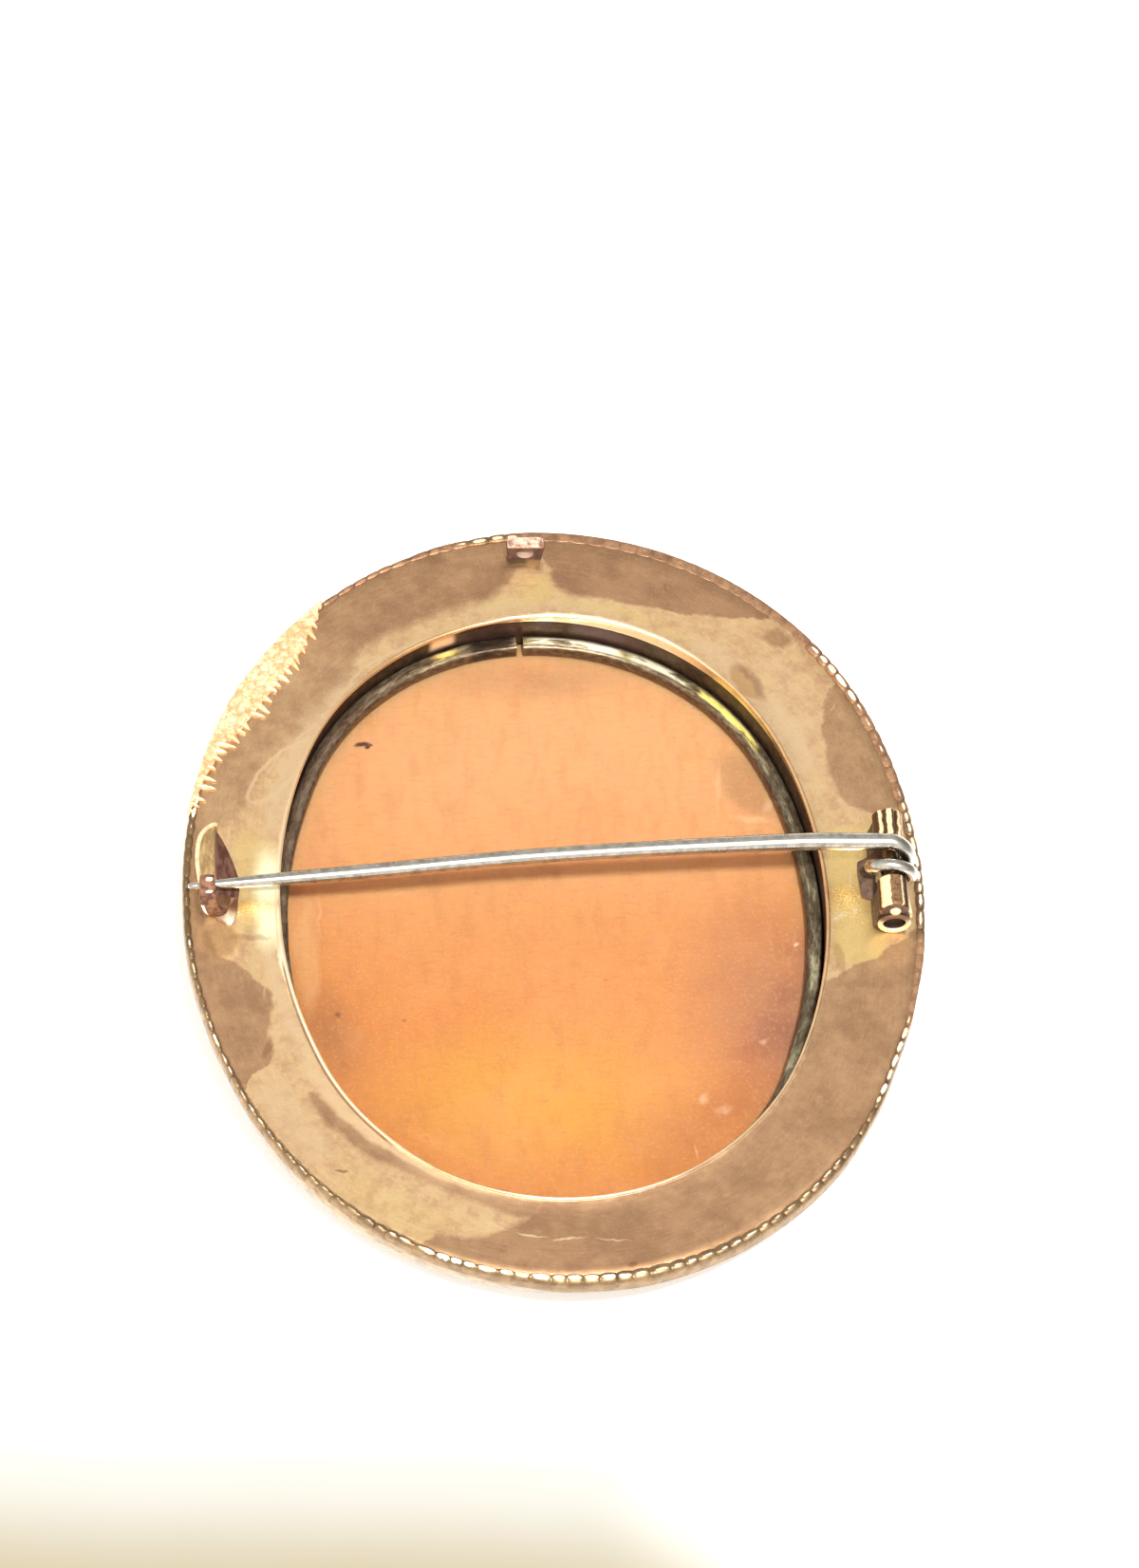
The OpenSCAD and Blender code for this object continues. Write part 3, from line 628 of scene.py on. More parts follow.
def border_look():
    """Dull gold outside; the opening's wall is brown with dark patches and a pale one, a painted
    reflection of the shell with painted shade and a painted highlight.
    """
    k = RimLook("border_gold")
    cloud = k.noise(1.4, 5, 0.62, k.flat(k.z))
    out = k.fade(cloud, 0.35, 0.7, (164, 142, 108), (122, 100, 74))
    # the well's brown is a painted reflection of the shell, its dark patches painted shade and its pale
    # patch a painted highlight
    well = k.fade(cloud, 0.38, 0.62, (80, 56, 34), (52, 34, 24))
    dark = k.stretches([(71, 83, 0.9), (92, 103, 0.5), (132, 190, 0.4), (-30, 20, 0.4)], 1.5)
    well = k.mix(dark, well, (76, 52, 46))
    pale = k.stretches([(104, 108.5, 0.9)], 0.7) * k.ramp(k.z, BODY_H - 2.0, BODY_H - 1.4)
    well = k.mix(pale, well, (240, 196, 164))
    inside = k.ramp(k.u, 0.7, 0.5) * k.ramp(k.z, SHELL_BACK - 0.6, SHELL_BACK - 0.3)
    normal = k.bump(k.noise(6.0, 4, 0.6), 0.2, 0.02)
    metallic, rough = k.blend(inside, 1.0, 0.5), k.blend(inside, 0.34, 0.5)
    k.colour = k.mix(inside, out, well)
    return k.done(metallic, rough, normal)


def edge_look():
    """Brown, dark in the grooves, white on the beads' crests where it is polished and has a painted
    highlight.
    """
    k = RimLook("edge_gold")
    cloud = k.noise(1.5, 5, 0.6)
    fine = k.noise(9.0, 4, 0.65)
    brown = k.fade(cloud, 0.35, 0.65, (128, 104, 76), (158, 130, 96))
    plain = k.fade(cloud, 0.35, 0.65, (150, 112, 84), (186, 144, 110))
    brown = k.mix(k.stretches([(16, 121, 1.0), (-24, -8, 1.0)]), brown, plain)
    olive = k.stretches([(-181, -172, 0.8), (93, 99, 0.7), (166, 181, 0.5)])
    brown = k.mix(olive, brown, (110, 88, 56))
    brown = k.mix(k.ramp(fine, 0.5, 0.7, 0.0, 0.5), brown, (104, 74, 54))
    groove = k.field("groove") * k.along_rim(GAPS) * k.ramp(fine, 0.3, 0.6, 0.6, 1.0)
    k.colour = k.mix(groove, brown, (84, 60, 40))
    uneven = (k.noise(1.7, 4, 0.65) - 0.5) * 0.9
    # the white on the crests is wear and a painted highlight, whitened by being less metallic
    wear_and_sheen = k.ramp(k.field("crest") + (k.along_rim(POLISH_AND_SHEEN) + (uneven - 1.0)), 0.0, 0.22)
    k.coat(wear_and_sheen, k.fade(cloud, 0.4, 0.6, (255, 250, 232), (255, 226, 180)))
    metallic, rough = k.blend(wear_and_sheen, 0.85, 0.4), k.blend(wear_and_sheen, 0.45, 0.25)
    return k.done(metallic, rough, k.bump(fine, 0.3, 0.03))


def fringe_look():
    """Pale gold, with painted shade between the scales, and whiter and yellower patches."""
    k = Look("fringe_gold")
    fine = k.noise(5.0, 4, 0.65)
    k.colour = k.fade(k.noise(0.9, 4, 0.6), 0.38, 0.62, (250, 228, 180), (230, 190, 140))
    k.coat(k.ramp(fine, 0.45, 0.65, 0.0, 0.7), (198, 152, 106))
    # painted shade between the scales and at the fringe's inner end
    k.coat(k.field("groove") * 0.55, (186, 138, 88))
    return k.done(0.45, 0.34, k.bump(fine, 0.25, 0.03))


def metal_look(name, light, dark, rough, grime, scale=2.0, bump=0.1, metallic=1.0):
    """Plain metal, duller and darker in clouds and specks."""
    k = Look(name)
    cloud = k.noise(scale, 5, 0.65)
    fine = k.noise(scale * 5, 4, 0.6)
    k.colour = k.fade(cloud, 0.4 - grime * 0.2, 0.75, light, dark)
    k.coat(k.ramp(fine, 0.5, 0.8) * 0.3, dark)
    roughness = k.ramp(cloud, 0.3, 0.8, rough * 0.8, min(1.0, rough * 1.5))
    return k.done(metallic, roughness, k.bump(fine, bump, 0.02))


# patches on the shell's back: across, up, half width, half height, turn, softness, share, colour
PATCHES = [
    (-1, -11, 13, 7, 0, 1.0, 1.0, (213, 154, 64)), (-9, 5, 4, 8, 10, 1.0, 0.5, (214, 156, 96)),
    (13, -6, 8, 11, 10, 1.0, 1.0, (150, 98, 76)), (8, -13, 6, 4, 25, 1.0, 0.6, (160, 94, 48)),
    (-12.5, -6.5, 3, 5, 15, 1.0, 0.7, (162, 106, 62)), (2.5, 6.5, 8, 3.5, 0, 1.0, 0.4, (222, 146, 92)),
    (11.7, 9.3, 1.6, 3.2, 25, 0.5, 0.7, (172, 130, 88)), (11, -7, 1.4, 1.0, 0, 1.0, 0.4, (170, 108, 92)),
    (0, 16.5, 9, 2.0, 0, 1.0, 0.5, (166, 124, 86)),
    (-13.6, -1.5, 0.9, 4.5, 0, 0.5, 0.45, (220, 176, 118)),
    (-6.5, -14.0, 3.0, 0.5, -28, 0.7, 0.4, (226, 158, 84)),
]
# small marks on it, pale and dark: across, up, half width, half height, turn, strength
SHELL_PALE = [
    (14.0, -1.3, 0.25, 0.2, 0, 0.9), (11.7, -7.5, 0.3, 0.22, 0, 0.4), (8.2, -11.2, 0.6, 0.35, 60, 0.4),
    (9.2, -11.9, 0.7, 0.4, 20, 0.3), (7.5, -14.6, 0.12, 0.7, 10, 0.4), (11.9, 7.0, 1.6, 0.3, -8, 0.35),
    (13.0, 8.0, 0.4, 1.2, -30, 0.3), (10.2, 9.4, 0.25, 2.2, -5, 0.25), (-12.9, 1.0, 0.15, 2.4, 0, 0.2),
]
SHELL_DARK = [
    (-10.0, 12.25, 0.62, 0.22, 8, 1.0), (-9.7, 12.1, 0.3, 0.2, 20, 1.0),
    (-9.5, 12.25, 0.25, 0.1, -20, 0.9), (-8.4, -5.8, 0.2, 0.14, 0, 0.4),
    (3.1, -3.3, 0.14, 0.14, 0, 0.3), (-12.1, -5.4, 0.25, 0.3, 0, 0.5),
]
# these colours are as seen in light that is duller than the scene's by this much
SHELL_SHADE = 0.71


def shell_look():
    """Orange shell that light passes into, duller to the right, with a pale front."""
    k = Look("shell")
    fine = k.noise(1.9, 5, 0.7, stretch=(-35, 0.6, 2.2, 1))
    grain = k.noise(5.5, 3, 0.7)
    k.colour = k.fade(k.y, -8.0, 12.0, (208, 134, 70), (216, 161, 108))
    for *spot, share, colour in PATCHES:
        k.coat(k.spot(*spot, k.warped(0.5, 0.4)) * share, colour)
    cloud = k.noise(0.14, 5, 0.6, stretch=(20, 1, 1, 1))
    k.coat(k.ramp(cloud, 0.42, 0.66, 0.0, 0.3), (224, 160, 106))
    layer = k.noise(0.55, 4, 0.6, stretch=(5, 2.2, 0.7, 1))
    k.coat(k.ramp(layer, 0.45, 0.7, 0.0, 0.25), (178, 112, 66))
    k.coat(k.ramp(fine, 0.48, 0.75, 0.0, 0.3), (176, 110, 66))
    k.coat(k.ramp(grain, 0.5, 0.3, 0.0, 0.35), (232, 168, 112))
    k.coat(k.marks(SHELL_PALE, 0.9, 0.3), (250, 206, 164))
    k.coat(k.marks(SHELL_DARK, 0.6, 0.2), (90, 56, 40))
    k.coat(1 - SHELL_SHADE, (0, 0, 0))
    pale = k.fade(k.z, 0.3, 0.7, (246, 236, 220), (206, 132, 86))
    k.coat(k.ramp(k.z, SHELL_BACK - 0.4, SHELL_BACK - 0.7), pale)
    rough, normal = k.ramp(fine, 0.3, 0.8, 0.5, 0.68), k.bump(fine + grain, 0.2, 0.06)
    return k.done(
        0.0, rough, normal, Specular_IOR_Level=0.3, Subsurface_Weight=0.8,
        Subsurface_Scale=0.0022, Subsurface_Radius=(1.0, 0.3, 0.05),
    )


def lug_look():
    """Pinkish top rubbed pale, a dark front, a painted glint in the hole, solder at the foot."""
    k = Look("lug_gold")
    cloud = k.noise(2.2, 4, 0.6)
    top = k.ramp(k.z + cloud * 0.25, BODY_H + LUG_H - 0.12, BODY_H + LUG_H + 0.05)
    dark = k.fade(cloud, 0.38, 0.62, (70, 50, 46), (98, 72, 60))
    wear_and_sheen = k.fade(cloud, 0.4, 0.6, (236, 208, 186), (160, 116, 96))
    k.colour = k.mix(top, dark, wear_and_sheen)
    foot = k.ramp(k.z, BODY_H + 0.45, BODY_H + 0.2)
    right = k.ramp(k.x, LUG_X - 0.1, LUG_X + 0.3)
    k.coat(foot * right, (120, 98, 70))
    k.coat(foot * (1.0 - right), (72, 62, 38))
    across, up = k.x - LUG_X, k.z - (BODY_H + LUG_HOLE_Z)
    out = across * across + up * up
    # a painted glint inside the hole
    bore = k.ramp(out, (LUG_HOLE_R + 0.06) ** 2, (LUG_HOLE_R + 0.02) ** 2)
    k.coat(bore, (168, 140, 122))
    normal = k.bump(k.noise(6, 3, 0.6), 0.3, 0.03)
    metallic, rough = k.blend(top, 0.0, 0.5), k.blend(top, 0.8, 0.35)
    return k.done(metallic, rough, normal, Specular_IOR_Level=0.15)


def barrel_look():
    """Rolled tube: stripes of painted highlight and painted shade along it, some over its seams."""
    k = Look("hinge_gold")
    turn = k.math("ARCTAN2", k.z - AXIS_Z, k.x - HINGE_X) * (180 / pi)
    turn = turn + (k.noise(2.5, 3, 0.6) - 0.5) * 16.0
    fine = k.noise(6.0, 4, 0.65)
    near = k.ramp(k.y, 1.0, 0.9)

    def stripes(rows):
        """The most of several stripes, from and to angle round the tube."""
        found = [k.ramp(turn, a - 4, a + 2) * k.ramp(turn, b + 4, b - 2) for a, b in rows]
        return reduce(k.larger, found)

    # painted highlight stripes and painted shade stripes, for the near and the far tube
    light = k.blend(near, stripes([(80, 98), (122, 132), (42, 48)]), stripes([(106, 150), (56, 61)]))
    dark = k.blend(near, stripes([(101, 119), (52, 76), (136, 178)]), stripes([(20, 52), (155, 178)]))
    k.colour = k.fade(fine, 0.4, 0.7, (158, 120, 86), (106, 74, 50))
    k.coat(light, (246, 222, 172))
    k.coat(dark, (84, 58, 36))
    metallic, rough = k.blend(light, 0.7, 0.4), k.blend(light, 0.4, 0.25)
    return k.done(metallic, rough, k.bump(fine, 0.25, 0.03))


def socket_look():
    """The tube's open end: a painted highlight on its lip below, browner above, painted shade inside."""
    k = Look("socket_gold")
    cloud = k.noise(3.0, 4, 0.6)
    k.colour = k.fade(k.z + cloud * 0.3, BODY_H + 1.75, BODY_H + 1.25, (110, 80, 58), (236, 214, 168))
    # painted shade inside the tube
    deep = k.ramp(k.y, HINGE_Y - 0.2, HINGE_Y - 0.12)
    k.coat(deep, (40, 26, 22))
    normal = k.bump(cloud, 0.2, 0.05)
    return k.done(k.blend(deep, 0.3, 0.0), 0.5, normal, Specular_IOR_Level=0.2)


def leaf_look():
    """Beige left of its ridge and dark mauve right of it, painted light and painted shade on its two
    slopes, with a painted highlight on its lower end.
    """
    k = Look("leaf_gold")
    cloud = k.noise(1.5, 4, 0.6, stretch=(0, 2.2, 0.7, 1))
    left = k.fade(cloud, 0.38, 0.62, (164, 136, 96), (128, 104, 66))
    right = k.fade(cloud, 0.38, 0.62, (74, 42, 34), (104, 74, 60))
    foot = k.fade(k.y, -0.1, -0.6, (92, 60, 38), (140, 104, 76))
    right = k.mix(k.ramp(k.y, 0.5, 0.1), right, foot)
    # the lit left slope and the shaded right slope are painted, and the bright field is a painted
    # highlight
    k.colour = k.mix(k.field("left") * k.ramp(k.y, 0.5, 0.9), right, left)
    k.coat(k.field("bright"), (255, 248, 220))
    return k.done(0.1, 0.6, k.bump(cloud, 0.25, 0.05), Specular_IOR_Level=0.2)


def hook_look():
    """Brown strip with a painted highlight along its left edge and painted highlight spots on its crown.
    """
    k = Look("hook_gold")
    cloud = k.noise(2.4, 4, 0.65)
    k.colour = k.fade(cloud, 0.38, 0.62, (132, 92, 66), (80, 46, 32))
    # white where the mesh marks a painted highlight
    wear_and_sheen = k.ramp(k.field("bright") + (cloud - 0.5) * 0.8, 0.35, 0.75)
    k.coat(wear_and_sheen, (255, 246, 226))
    return k.done(0.1, 0.6, k.bump(cloud, 0.3, 0.04), Specular_IOR_Level=0.3)


def ring_look():
    """Dark oxide, with a painted highlight in greenish streaks along its crown, painted yellow and white
    glints at the top, and painted shade in stretches.
    """
    k = RimLook("ring_metal")
    streak = k.noise(0.8, 5, 0.6, k.flat(k.z), (0, 0.45, 2.5, 1))
    fine = k.noise(4.0, 4, 0.65, k.flat(k.z), (0, 0.5, 2.0, 1))
    dark = k.fade(fine, 0.35, 0.7, (84, 66, 50), (126, 108, 84))
    # pale: the painted highlight along the crown, made dimmer and mauve on the left as painted shade
    pale = k.fade(fine, 0.35, 0.65, (150, 140, 108), (206, 200, 166))
    pale = k.mix(k.stretches([(120, 200, 0.8), (-181, -140, 0.8)], 8.0), pale, (116, 92, 82))
    crown = k.ramp(abs(k.u + RING_T / 2), 0.46, 0.2)
    k.colour = k.mix(k.ramp(streak, 0.4, 0.62, 0.15, 0.85) * crown, dark, pale)
    yellow = k.stretches([(42, 58, 1.0), (104, 108, 0.8)])
    white = k.stretches([(74, 90.5, 1.0), (60, 72.5, 0.85)], 1.5)
    middle = k.ramp(abs(k.u + 0.5), 0.3, 0.1) * k.ramp(streak, 0.38, 0.5)
    glint = k.larger(yellow, white) * middle
    k.coat(glint, k.mix(white, (255, 236, 130), (255, 250, 226)))
    # painted shade under the split and along stretches of the ring
    black = k.stretches([(93.5, 101.5, 0.9), (-60, 36, 0.45), (-181, -140, 0.4)], 1.0)
    k.coat(black * k.ramp(streak, 0.65, 0.5), (52, 40, 32))
    rough = k.ramp(fine, 0.3, 0.8, 0.3, 0.5)
    return k.done(k.blend(glint, 0.8, 0.5), rough, k.bump(fine, 0.25, 0.04))


DULL = metal_look("saddle_brown", (104, 76, 54), (62, 42, 30), 0.6, 0.6, 2.5, 0.2, 0.1)
# pale gold for the catch's rim, the hinge's wing and the rivet head: wear and a painted highlight
WORN_AND_SHEEN = metal_look("worn_and_sheen_gold", (240, 220, 178), (206, 164, 120), 0.4, 0.4, 2.5, 0.2, 0.3)
STEEL = metal_look("pin_steel", (196, 192, 184), (140, 134, 124), 0.24, 0.3)
BRASS = metal_look("rivet_brass", (120, 92, 66), (70, 52, 40), 0.4, 0.5)


# ---- front border, edge and fringe
def make_border():
    top, lap, crest = BODY_H - 0.14, EDGE_CREST - 0.19, CREST_FLAT / 2
    outer = [(PLATE_W + 0.05, top), (lap, top), (lap, EDGE_FOOT + 0.06), (WALL_OUT, EDGE_FOOT + 0.05)]
    outer += arc(CREST_U + crest, BORDER_H, WALL_OUT - CREST_U - crest, BORDER_H, 0, -90, 16)
    outer += arc(CREST_U - crest, FLANGE_Z, CREST_U - crest - 0.5, FLANGE_Z, -90, -180, 8)
    outer += [(-FLANGE_IN + 0.1, FLANGE_Z), (-FLANGE_IN, FLANGE_Z + 0.1), (-FLANGE_IN, FLANGE_TOP)]
    outer += [(0, FLANGE_TOP), (0, LEDGE), (SHEET_T, LEDGE), (SHEET_T, FLANGE_TOP)]
    inner = arc(CREST_U, FLANGE_TOP, CREST_U - 0.5 - SHEET_T, FLANGE_TOP - SHEET_T, -180, -90, 6)
    inner += arc(CREST_U, BORDER_H, WALL_OUT - SHEET_T - CREST_U, BORDER_H - SHEET_T, -90, 0, 8)
    inner += [(WALL_OUT - SHEET_T, LEDGE), (PLATE_W + 0.05, LEDGE)]
    rows = []
    for s in stations(0.45):
        most = value_at(EDGE_SHAPE, angle_of(s), 3) - 0.12
        rows.append([at(s, min(u, most), z) for u, z in outer + inner])
    piece("front_border_body", loft(rows), border_look(), "border_gold", "front_border")


# a bead's section: share of the way from the crest inward (below 0) or outward, height above the
# plate, direction and depth of the grooves
BEAD = [
    (-1, 0.0, 90, 0), (-0.98, 0.06, 90, 0.03), (-0.8, 0.11, 90, 0.05), (-0.5, 0.15, 90, 0.07),
    (-0.2, 0.18, 90, 0.09), (0, 0.19, 80, 0.11), (0.3, 0.175, 65, 0.13), (0.6, 0.12, 45, 0.14),
    (0.85, 0.04, 20, 0.13), (1, -0.06, 0, 0.11), (1, -0.2, 0, 0.08), (0.98, -0.34, 0, 0.04),
]
BEAD_LENGTH, BEAD_STATIONS = 0.95, 14


def make_milled_edge():
    """The rubbed-over edge: a row of rounded beads whose grooves fade down its plain side."""
    rows, crest, groove = [], [], []
    for i, s in enumerate(stations(BEAD_LENGTH, multiple=BEAD_STATIONS)):
        phase = i / BEAD_STATIONS
        phase += 0.5 * noise.noise(Vector((phase * 0.43, 7, 0)))
        x = 2 * (phase % 1.0) - 1
        uneven = noise.noise(Vector((floor(phase) * 3.7, 0, 0)))
        cut = 1 - sqrt(max(0, 1 - x * x)) ** 0.8
        angle = angle_of(s)
        inner, mid, outer, foot = (value_at(EDGE_SHAPE, angle, c) for c in (1, 2, 3, 4))
        lift = value_at(LIFT, angle)
        inner += 0.07 * x * x + 0.03 * uneven
        row = []
        for share, z, d, depth in BEAD:
            u = mid + share * (outer - mid if share > 0 else mid - inner)
            h = -depth * cut * min(1, 0.1 + 1.2 * lift) + 0.05 * uneven * lift * (depth > 0.06)
            z = z * lift if z > 0 else z
            d = radians(d)
            row.append(at(s, u + h * cos(d), BODY_H + z + h * sin(d)))
            near = max(0.0, 1 - abs(u - mid + 0.02) / 0.24)
            crest.append((1 - abs(x) ** 3) * near if z > -0.1 else 0.0)
            groove.append(min(1.0, cut * depth * 9))
        under = [(outer, foot + 0.12), (outer - 0.03, foot + 0.04), (outer - 0.12, foot)]
        under += [(outer - 0.25, foot), (outer - 0.25, -0.2), (inner + 0.02, -0.02)]
        row += [at(s, u, BODY_H + z) for u, z in under]
        crest += [0.0] * len(under)
        groove += [0.0] * len(under)
        rows.append(row)
    piece("milled_edge", loft(rows), edge_look(), "border_gold", sharp=60, crest=crest, groove=groove)


# the turned-over fringe: angle from the right, its inner end as u
FRINGE = [
    (124, 4.9), (125, 4.6), (127, 4.05), (129, 3.8), (131, 3.45), (133, 3.2), (138, 3.1), (141, 3.05),
    (145, 3.2), (149, 3.45), (151, 3.7), (152.5, 4.2), (156, 4.2), (159, 4.5), (162, 4.6),
    (164.5, 4.8), (166, 4.9),
]
SPIKE_SECTION = ((-1, -0.3), (-0.85, 0.4), (-0.4, 0.85), (0, 1), (0.4, 0.85), (0.85, 0.4), (1, -0.3))


def spike(station, u_root, length, width, turn, height=0.17, n=8):
    """A pointed ridge that lies on the plate and points inward from its root."""
    root = at(station, u_root, BODY_H + 0.06)
    a = station[2] + turn
    d = Vector((-cos(a), -sin(a), 0))
    side = Vector((-d.y, d.x, 0))
    rows = []
    for t in (i / n for i in range(n + 1)):
        w = width * 0.5 * max(0.03, (1 - t) ** 0.6)
        h = height * (1 - t) ** 0.4 + 0.02
        c = root + d * (length * t)
        rows.append([c + side * (w * x) + Vector((0, 0, h * y)) for x, y in SPIKE_SECTION])
    return loft(rows, capped=True)


def make_fringe():
    """The border's leafy edge, rubbed over the plate: a sheet of flat scales that ends in points."""
    rows, groove = [], []
    n, m = 300, 34
    first, last = FRINGE[0][0], FRINGE[-1][0]
    for i in range(n + 1):
        angle = first + (last - first) * i / n
        s = station_at(angle)
        end = value_at(FRINGE, angle) + 0.34
        scallop = 0.05 * abs(sin(pi * (angle - first) / 2.5))
        outer = value_at(EDGE_SHAPE, angle, 3) + 0.03 + scallop
        along = (angle - first) * 0.37 / 0.9
        fade = min(1.0, i / 12, (n - i) / 12)
        row = []
        for j in range(m + 1):
            u = outer + (end - outer) * j / m
            a = (along + 0.35 * noise.noise(Vector((angle * 0.5, u * 1.7, 5)))) % 1.0 - 0.5
            b = ((outer - u) / 0.62 + (0.5 if floor(along) % 2 else 0.0)) % 1.0 - 0.5
            scale = max(0.0, 1 - (abs(2 * a) ** 1.6 + abs(2 * b) ** 1.6)) ** 0.5
            wave = noise.noise(Vector((angle * 1.1, u * 3.1, 0)))
            lift = 0.12 * fade + 0.05 * fade * scale + 0.06 * fade * wave
            row.append(at(s, u, BODY_H + 0.04 + lift - (0 if j else 0.1)))
            groove.append(max(0.0, min(1.0, 0.8 - 2.2 * scale)))
        groove += [1.0, 0.3]
        rows.append(row + [at(s, end, BODY_H + 0.02), at(s, outer, BODY_H - 0.1)])
    parts = [loft(rows, capped=True)]
    angle = first + 0.4
    while angle < last - 0.5:
        s = station_at(angle + rng.uniform(-0.15, 0.15))
        end = value_at(FRINGE, angle)
        long = 0.7 * rng.uniform(0.6, 1.5)
        wide = rng.uniform(0.3, 0.5)
        parts.append(spike(s, end + 0.5, long, wide, radians(rng.uniform(-30, 5))))
        angle += rng.uniform(1.1, 2.2)
    mesh = join(parts)
    groove += [0.0] * (len(mesh[0]) - len(groove))
    piece("turned_fringe", mesh, fringe_look(), "border_gold", sharp=45, groove=groove)


# ---- back plate and what is soldered on it
def make_plate():
    low = BODY_H - PLATE_T
    rows = []
    for s in stations(0.5):
        angle = angle_of(s)
        inner, outer = value_at(LIP, angle, 1), value_at(LIP, angle, 2)
        most = min(value_at(EDGE_SHAPE, angle, 1) + 0.14, value_at(EDGE_SHAPE, angle, 3) - 0.14)
        half = (outer - inner) / 2
        section = [(0.02, low), (most, low), (most, BODY_H - 0.03), (most - 0.04, BODY_H)]
        section += [(u, BODY_H) for u in (4.3, 3.4, 2.2, 1.2, outer + 0.06)]
        section += arc(inner + half, BODY_H, half, 0.13, 8, 172, 10)
        section += [(inner, BODY_H - 0.05), (inner + 0.03, BODY_H - 0.16), (0.02, BODY_H - 0.4)]
        rows.append([at(s, u, z) for u, z in section])
    piece("back_plate_ring", loft(rows), plate_look(), "plate_gold", "back_plate")


def barrel(y0, length, grooves, rim=0.05):
    """A rolled tube round the hinge's axis, with lengthwise seams: angle, width and depth."""

    def ring(y, r, cut=0):
        row = []
        for a in turns(96):
            q = r
            for g, width, depth in grooves:
                q -= cut * depth * exp(-(((degrees(a) - g) / width) ** 2))
            row.append(Vector((HINGE_X + q * cos(a), y, AXIS_Z + q * sin(a))))
        return row

    y1 = y0 + length
    rows = [ring(y0, KNUCKLE_R - rim, 1), ring(y0 + rim, KNUCKLE_R, 1)]
    rows += [ring(y0 + length / 2, KNUCKLE_R - 0.015, 1), ring(y1 - rim, KNUCKLE_R, 1)]
    rows += [ring(y1, KNUCKLE_R - rim, 1), ring(y1, BORE_R + 0.04), ring(y1 - 0.04, BORE_R)]
    return loft(rows + [ring(y0 + 0.04, BORE_R), ring(y0, BORE_R + 0.04)])


def saddle(y0, length):
    """The block that carries a barrel: seen from the side, a trapezium with hollow flanks."""
    foot = BODY_H + 0.2
    left = [(18.0, 0, foot), (18.12, 0, foot + 0.55), (18.25, 0, foot + 1.3), (18.3, 0, AXIS_Z - 0.3)]
    right = [(19.72, 0, AXIS_Z - 0.35), (19.78, 0, foot + 0.9), (19.8, 0, foot)]
    shape = smooth_path(left, 4) + [Vector((19.0, 0, AXIS_Z - 0.55))] + smooth_path(right, 4)
    c = Vector((18.8, 0, BODY_H + 0.9))
    rows = []
    for y, inset in ((y0, 0.05), (y0 + 0.05, 0), (y0 + length - 0.05, 0), (y0 + length, 0.05)):
        rows.append([q + (c - q).normalized() * inset + Vector((0, y, 0)) for q in shape])
    return loft(rows, capped=True)


def slab(outline, z0, z1, bevel=0.08):
    """A flat piece with a bevelled upper edge, from an outline that runs counterclockwise."""
    n = len(outline)
    c = Vector((sum(p[0] for p in outline) / n, sum(p[1] for p in outline) / n, 0))
    rows = []
    for z, inset in ((z0, 0), (z1 - bevel, 0), (z1 - bevel * 0.3, bevel * 0.4), (z1, bevel)):
        rays = [Vector((x, y, 0)) - c for x, y in outline]
        rows.append([c + d * (1 - inset / d.length) + Vector((0, 0, z)) for d in rays])
    return loft(rows, capped=True)


# rings from the outside in: distance along the tube, radius
SOCKET_LIP = ((0.3, 0.9), (-0.2, 0.94), (-0.27, 0.9), (-0.29, 0.8))
SOCKET_BORE = ((-0.27, 0.7), (-0.2, 0.65), (0.05, 0.63), (0.08, 0.3), (0.08, 0.05))
END_CAP = ((0.1, 0.72), (-0.01, 0.7), (-0.04, 0.55), (-0.05, 0.1))
RIVET_HEAD = ((0.0, 0.32), (-0.1, 0.31), (-0.18, 0.25), (-0.23, 0.14), (-0.25, 0.04))


def make_hinge():
    def add(name, mesh, look, sharp):
        piece(name, mesh, look, "plate_gold", sharp=sharp)

    near = barrel(HINGE_Y, NEAR_L, [(40, 6, 0.1)])
    far = barrel(FAR_Y, FAR_L, [(118, 8, 0.16), (58, 8, 0.16)])
    add("hinge_barrels", join([near, far]), barrel_look(), 40)
    near = saddle(HINGE_Y + 0.12, NEAR_L - 0.12)
    add("hinge_saddles", join([near, saddle(FAR_Y, FAR_L)]), DULL, 35)
    foot = [(18.1, HINGE_Y + 0.3), (18.3, HINGE_Y + 0.05), (19.75, HINGE_Y), (19.8, HINGE_Y + 0.1)]
    foot += [(19.8, HINGE_Y1 - 0.1), (19.7, HINGE_Y1), (18.2, HINGE_Y1), (17.95, FAR_Y + 0.2)]
    foot += [(17.4, FAR_Y - 0.1), (17.35, 1.6), (17.5, -0.05), (18.05, -0.25)]
    add("hinge_foot", slab(foot, BODY_H - 0.1, BODY_H + 0.24), DULL, 35)
    wing = [(19.7, -1.1), (20.25, -1.25), (20.2, -0.4), (19.95, 0.75), (19.7, 0.8)]
    add("hinge_wing", slab(wing, BODY_H - 0.05, BODY_H + 0.34, 0.12), WORN_AND_SHEEN, 35)
    # the tube's open end, and above it the riveted head that closes the barrel
    middle = HINGE_X + 0.08, HINGE_Y, BODY_H + 1.0
    rows = turned(*middle, SOCKET_LIP) + turned(*middle, SOCKET_BORE, squash=0.95)
    add("hinge_socket", loft(rows, capped=True), socket_look(), 60)
    rows = turned(HINGE_X, HINGE_Y, AXIS_Z - 0.03, END_CAP)
    add("hinge_end", loft(rows, capped=True), DULL, 60)
    rows = turned(HINGE_X + 0.05, HINGE_Y, AXIS_Z + 0.02, RIVET_HEAD)
    add("hinge_head", loft(rows, capped=True), WORN_AND_SHEEN, 60)


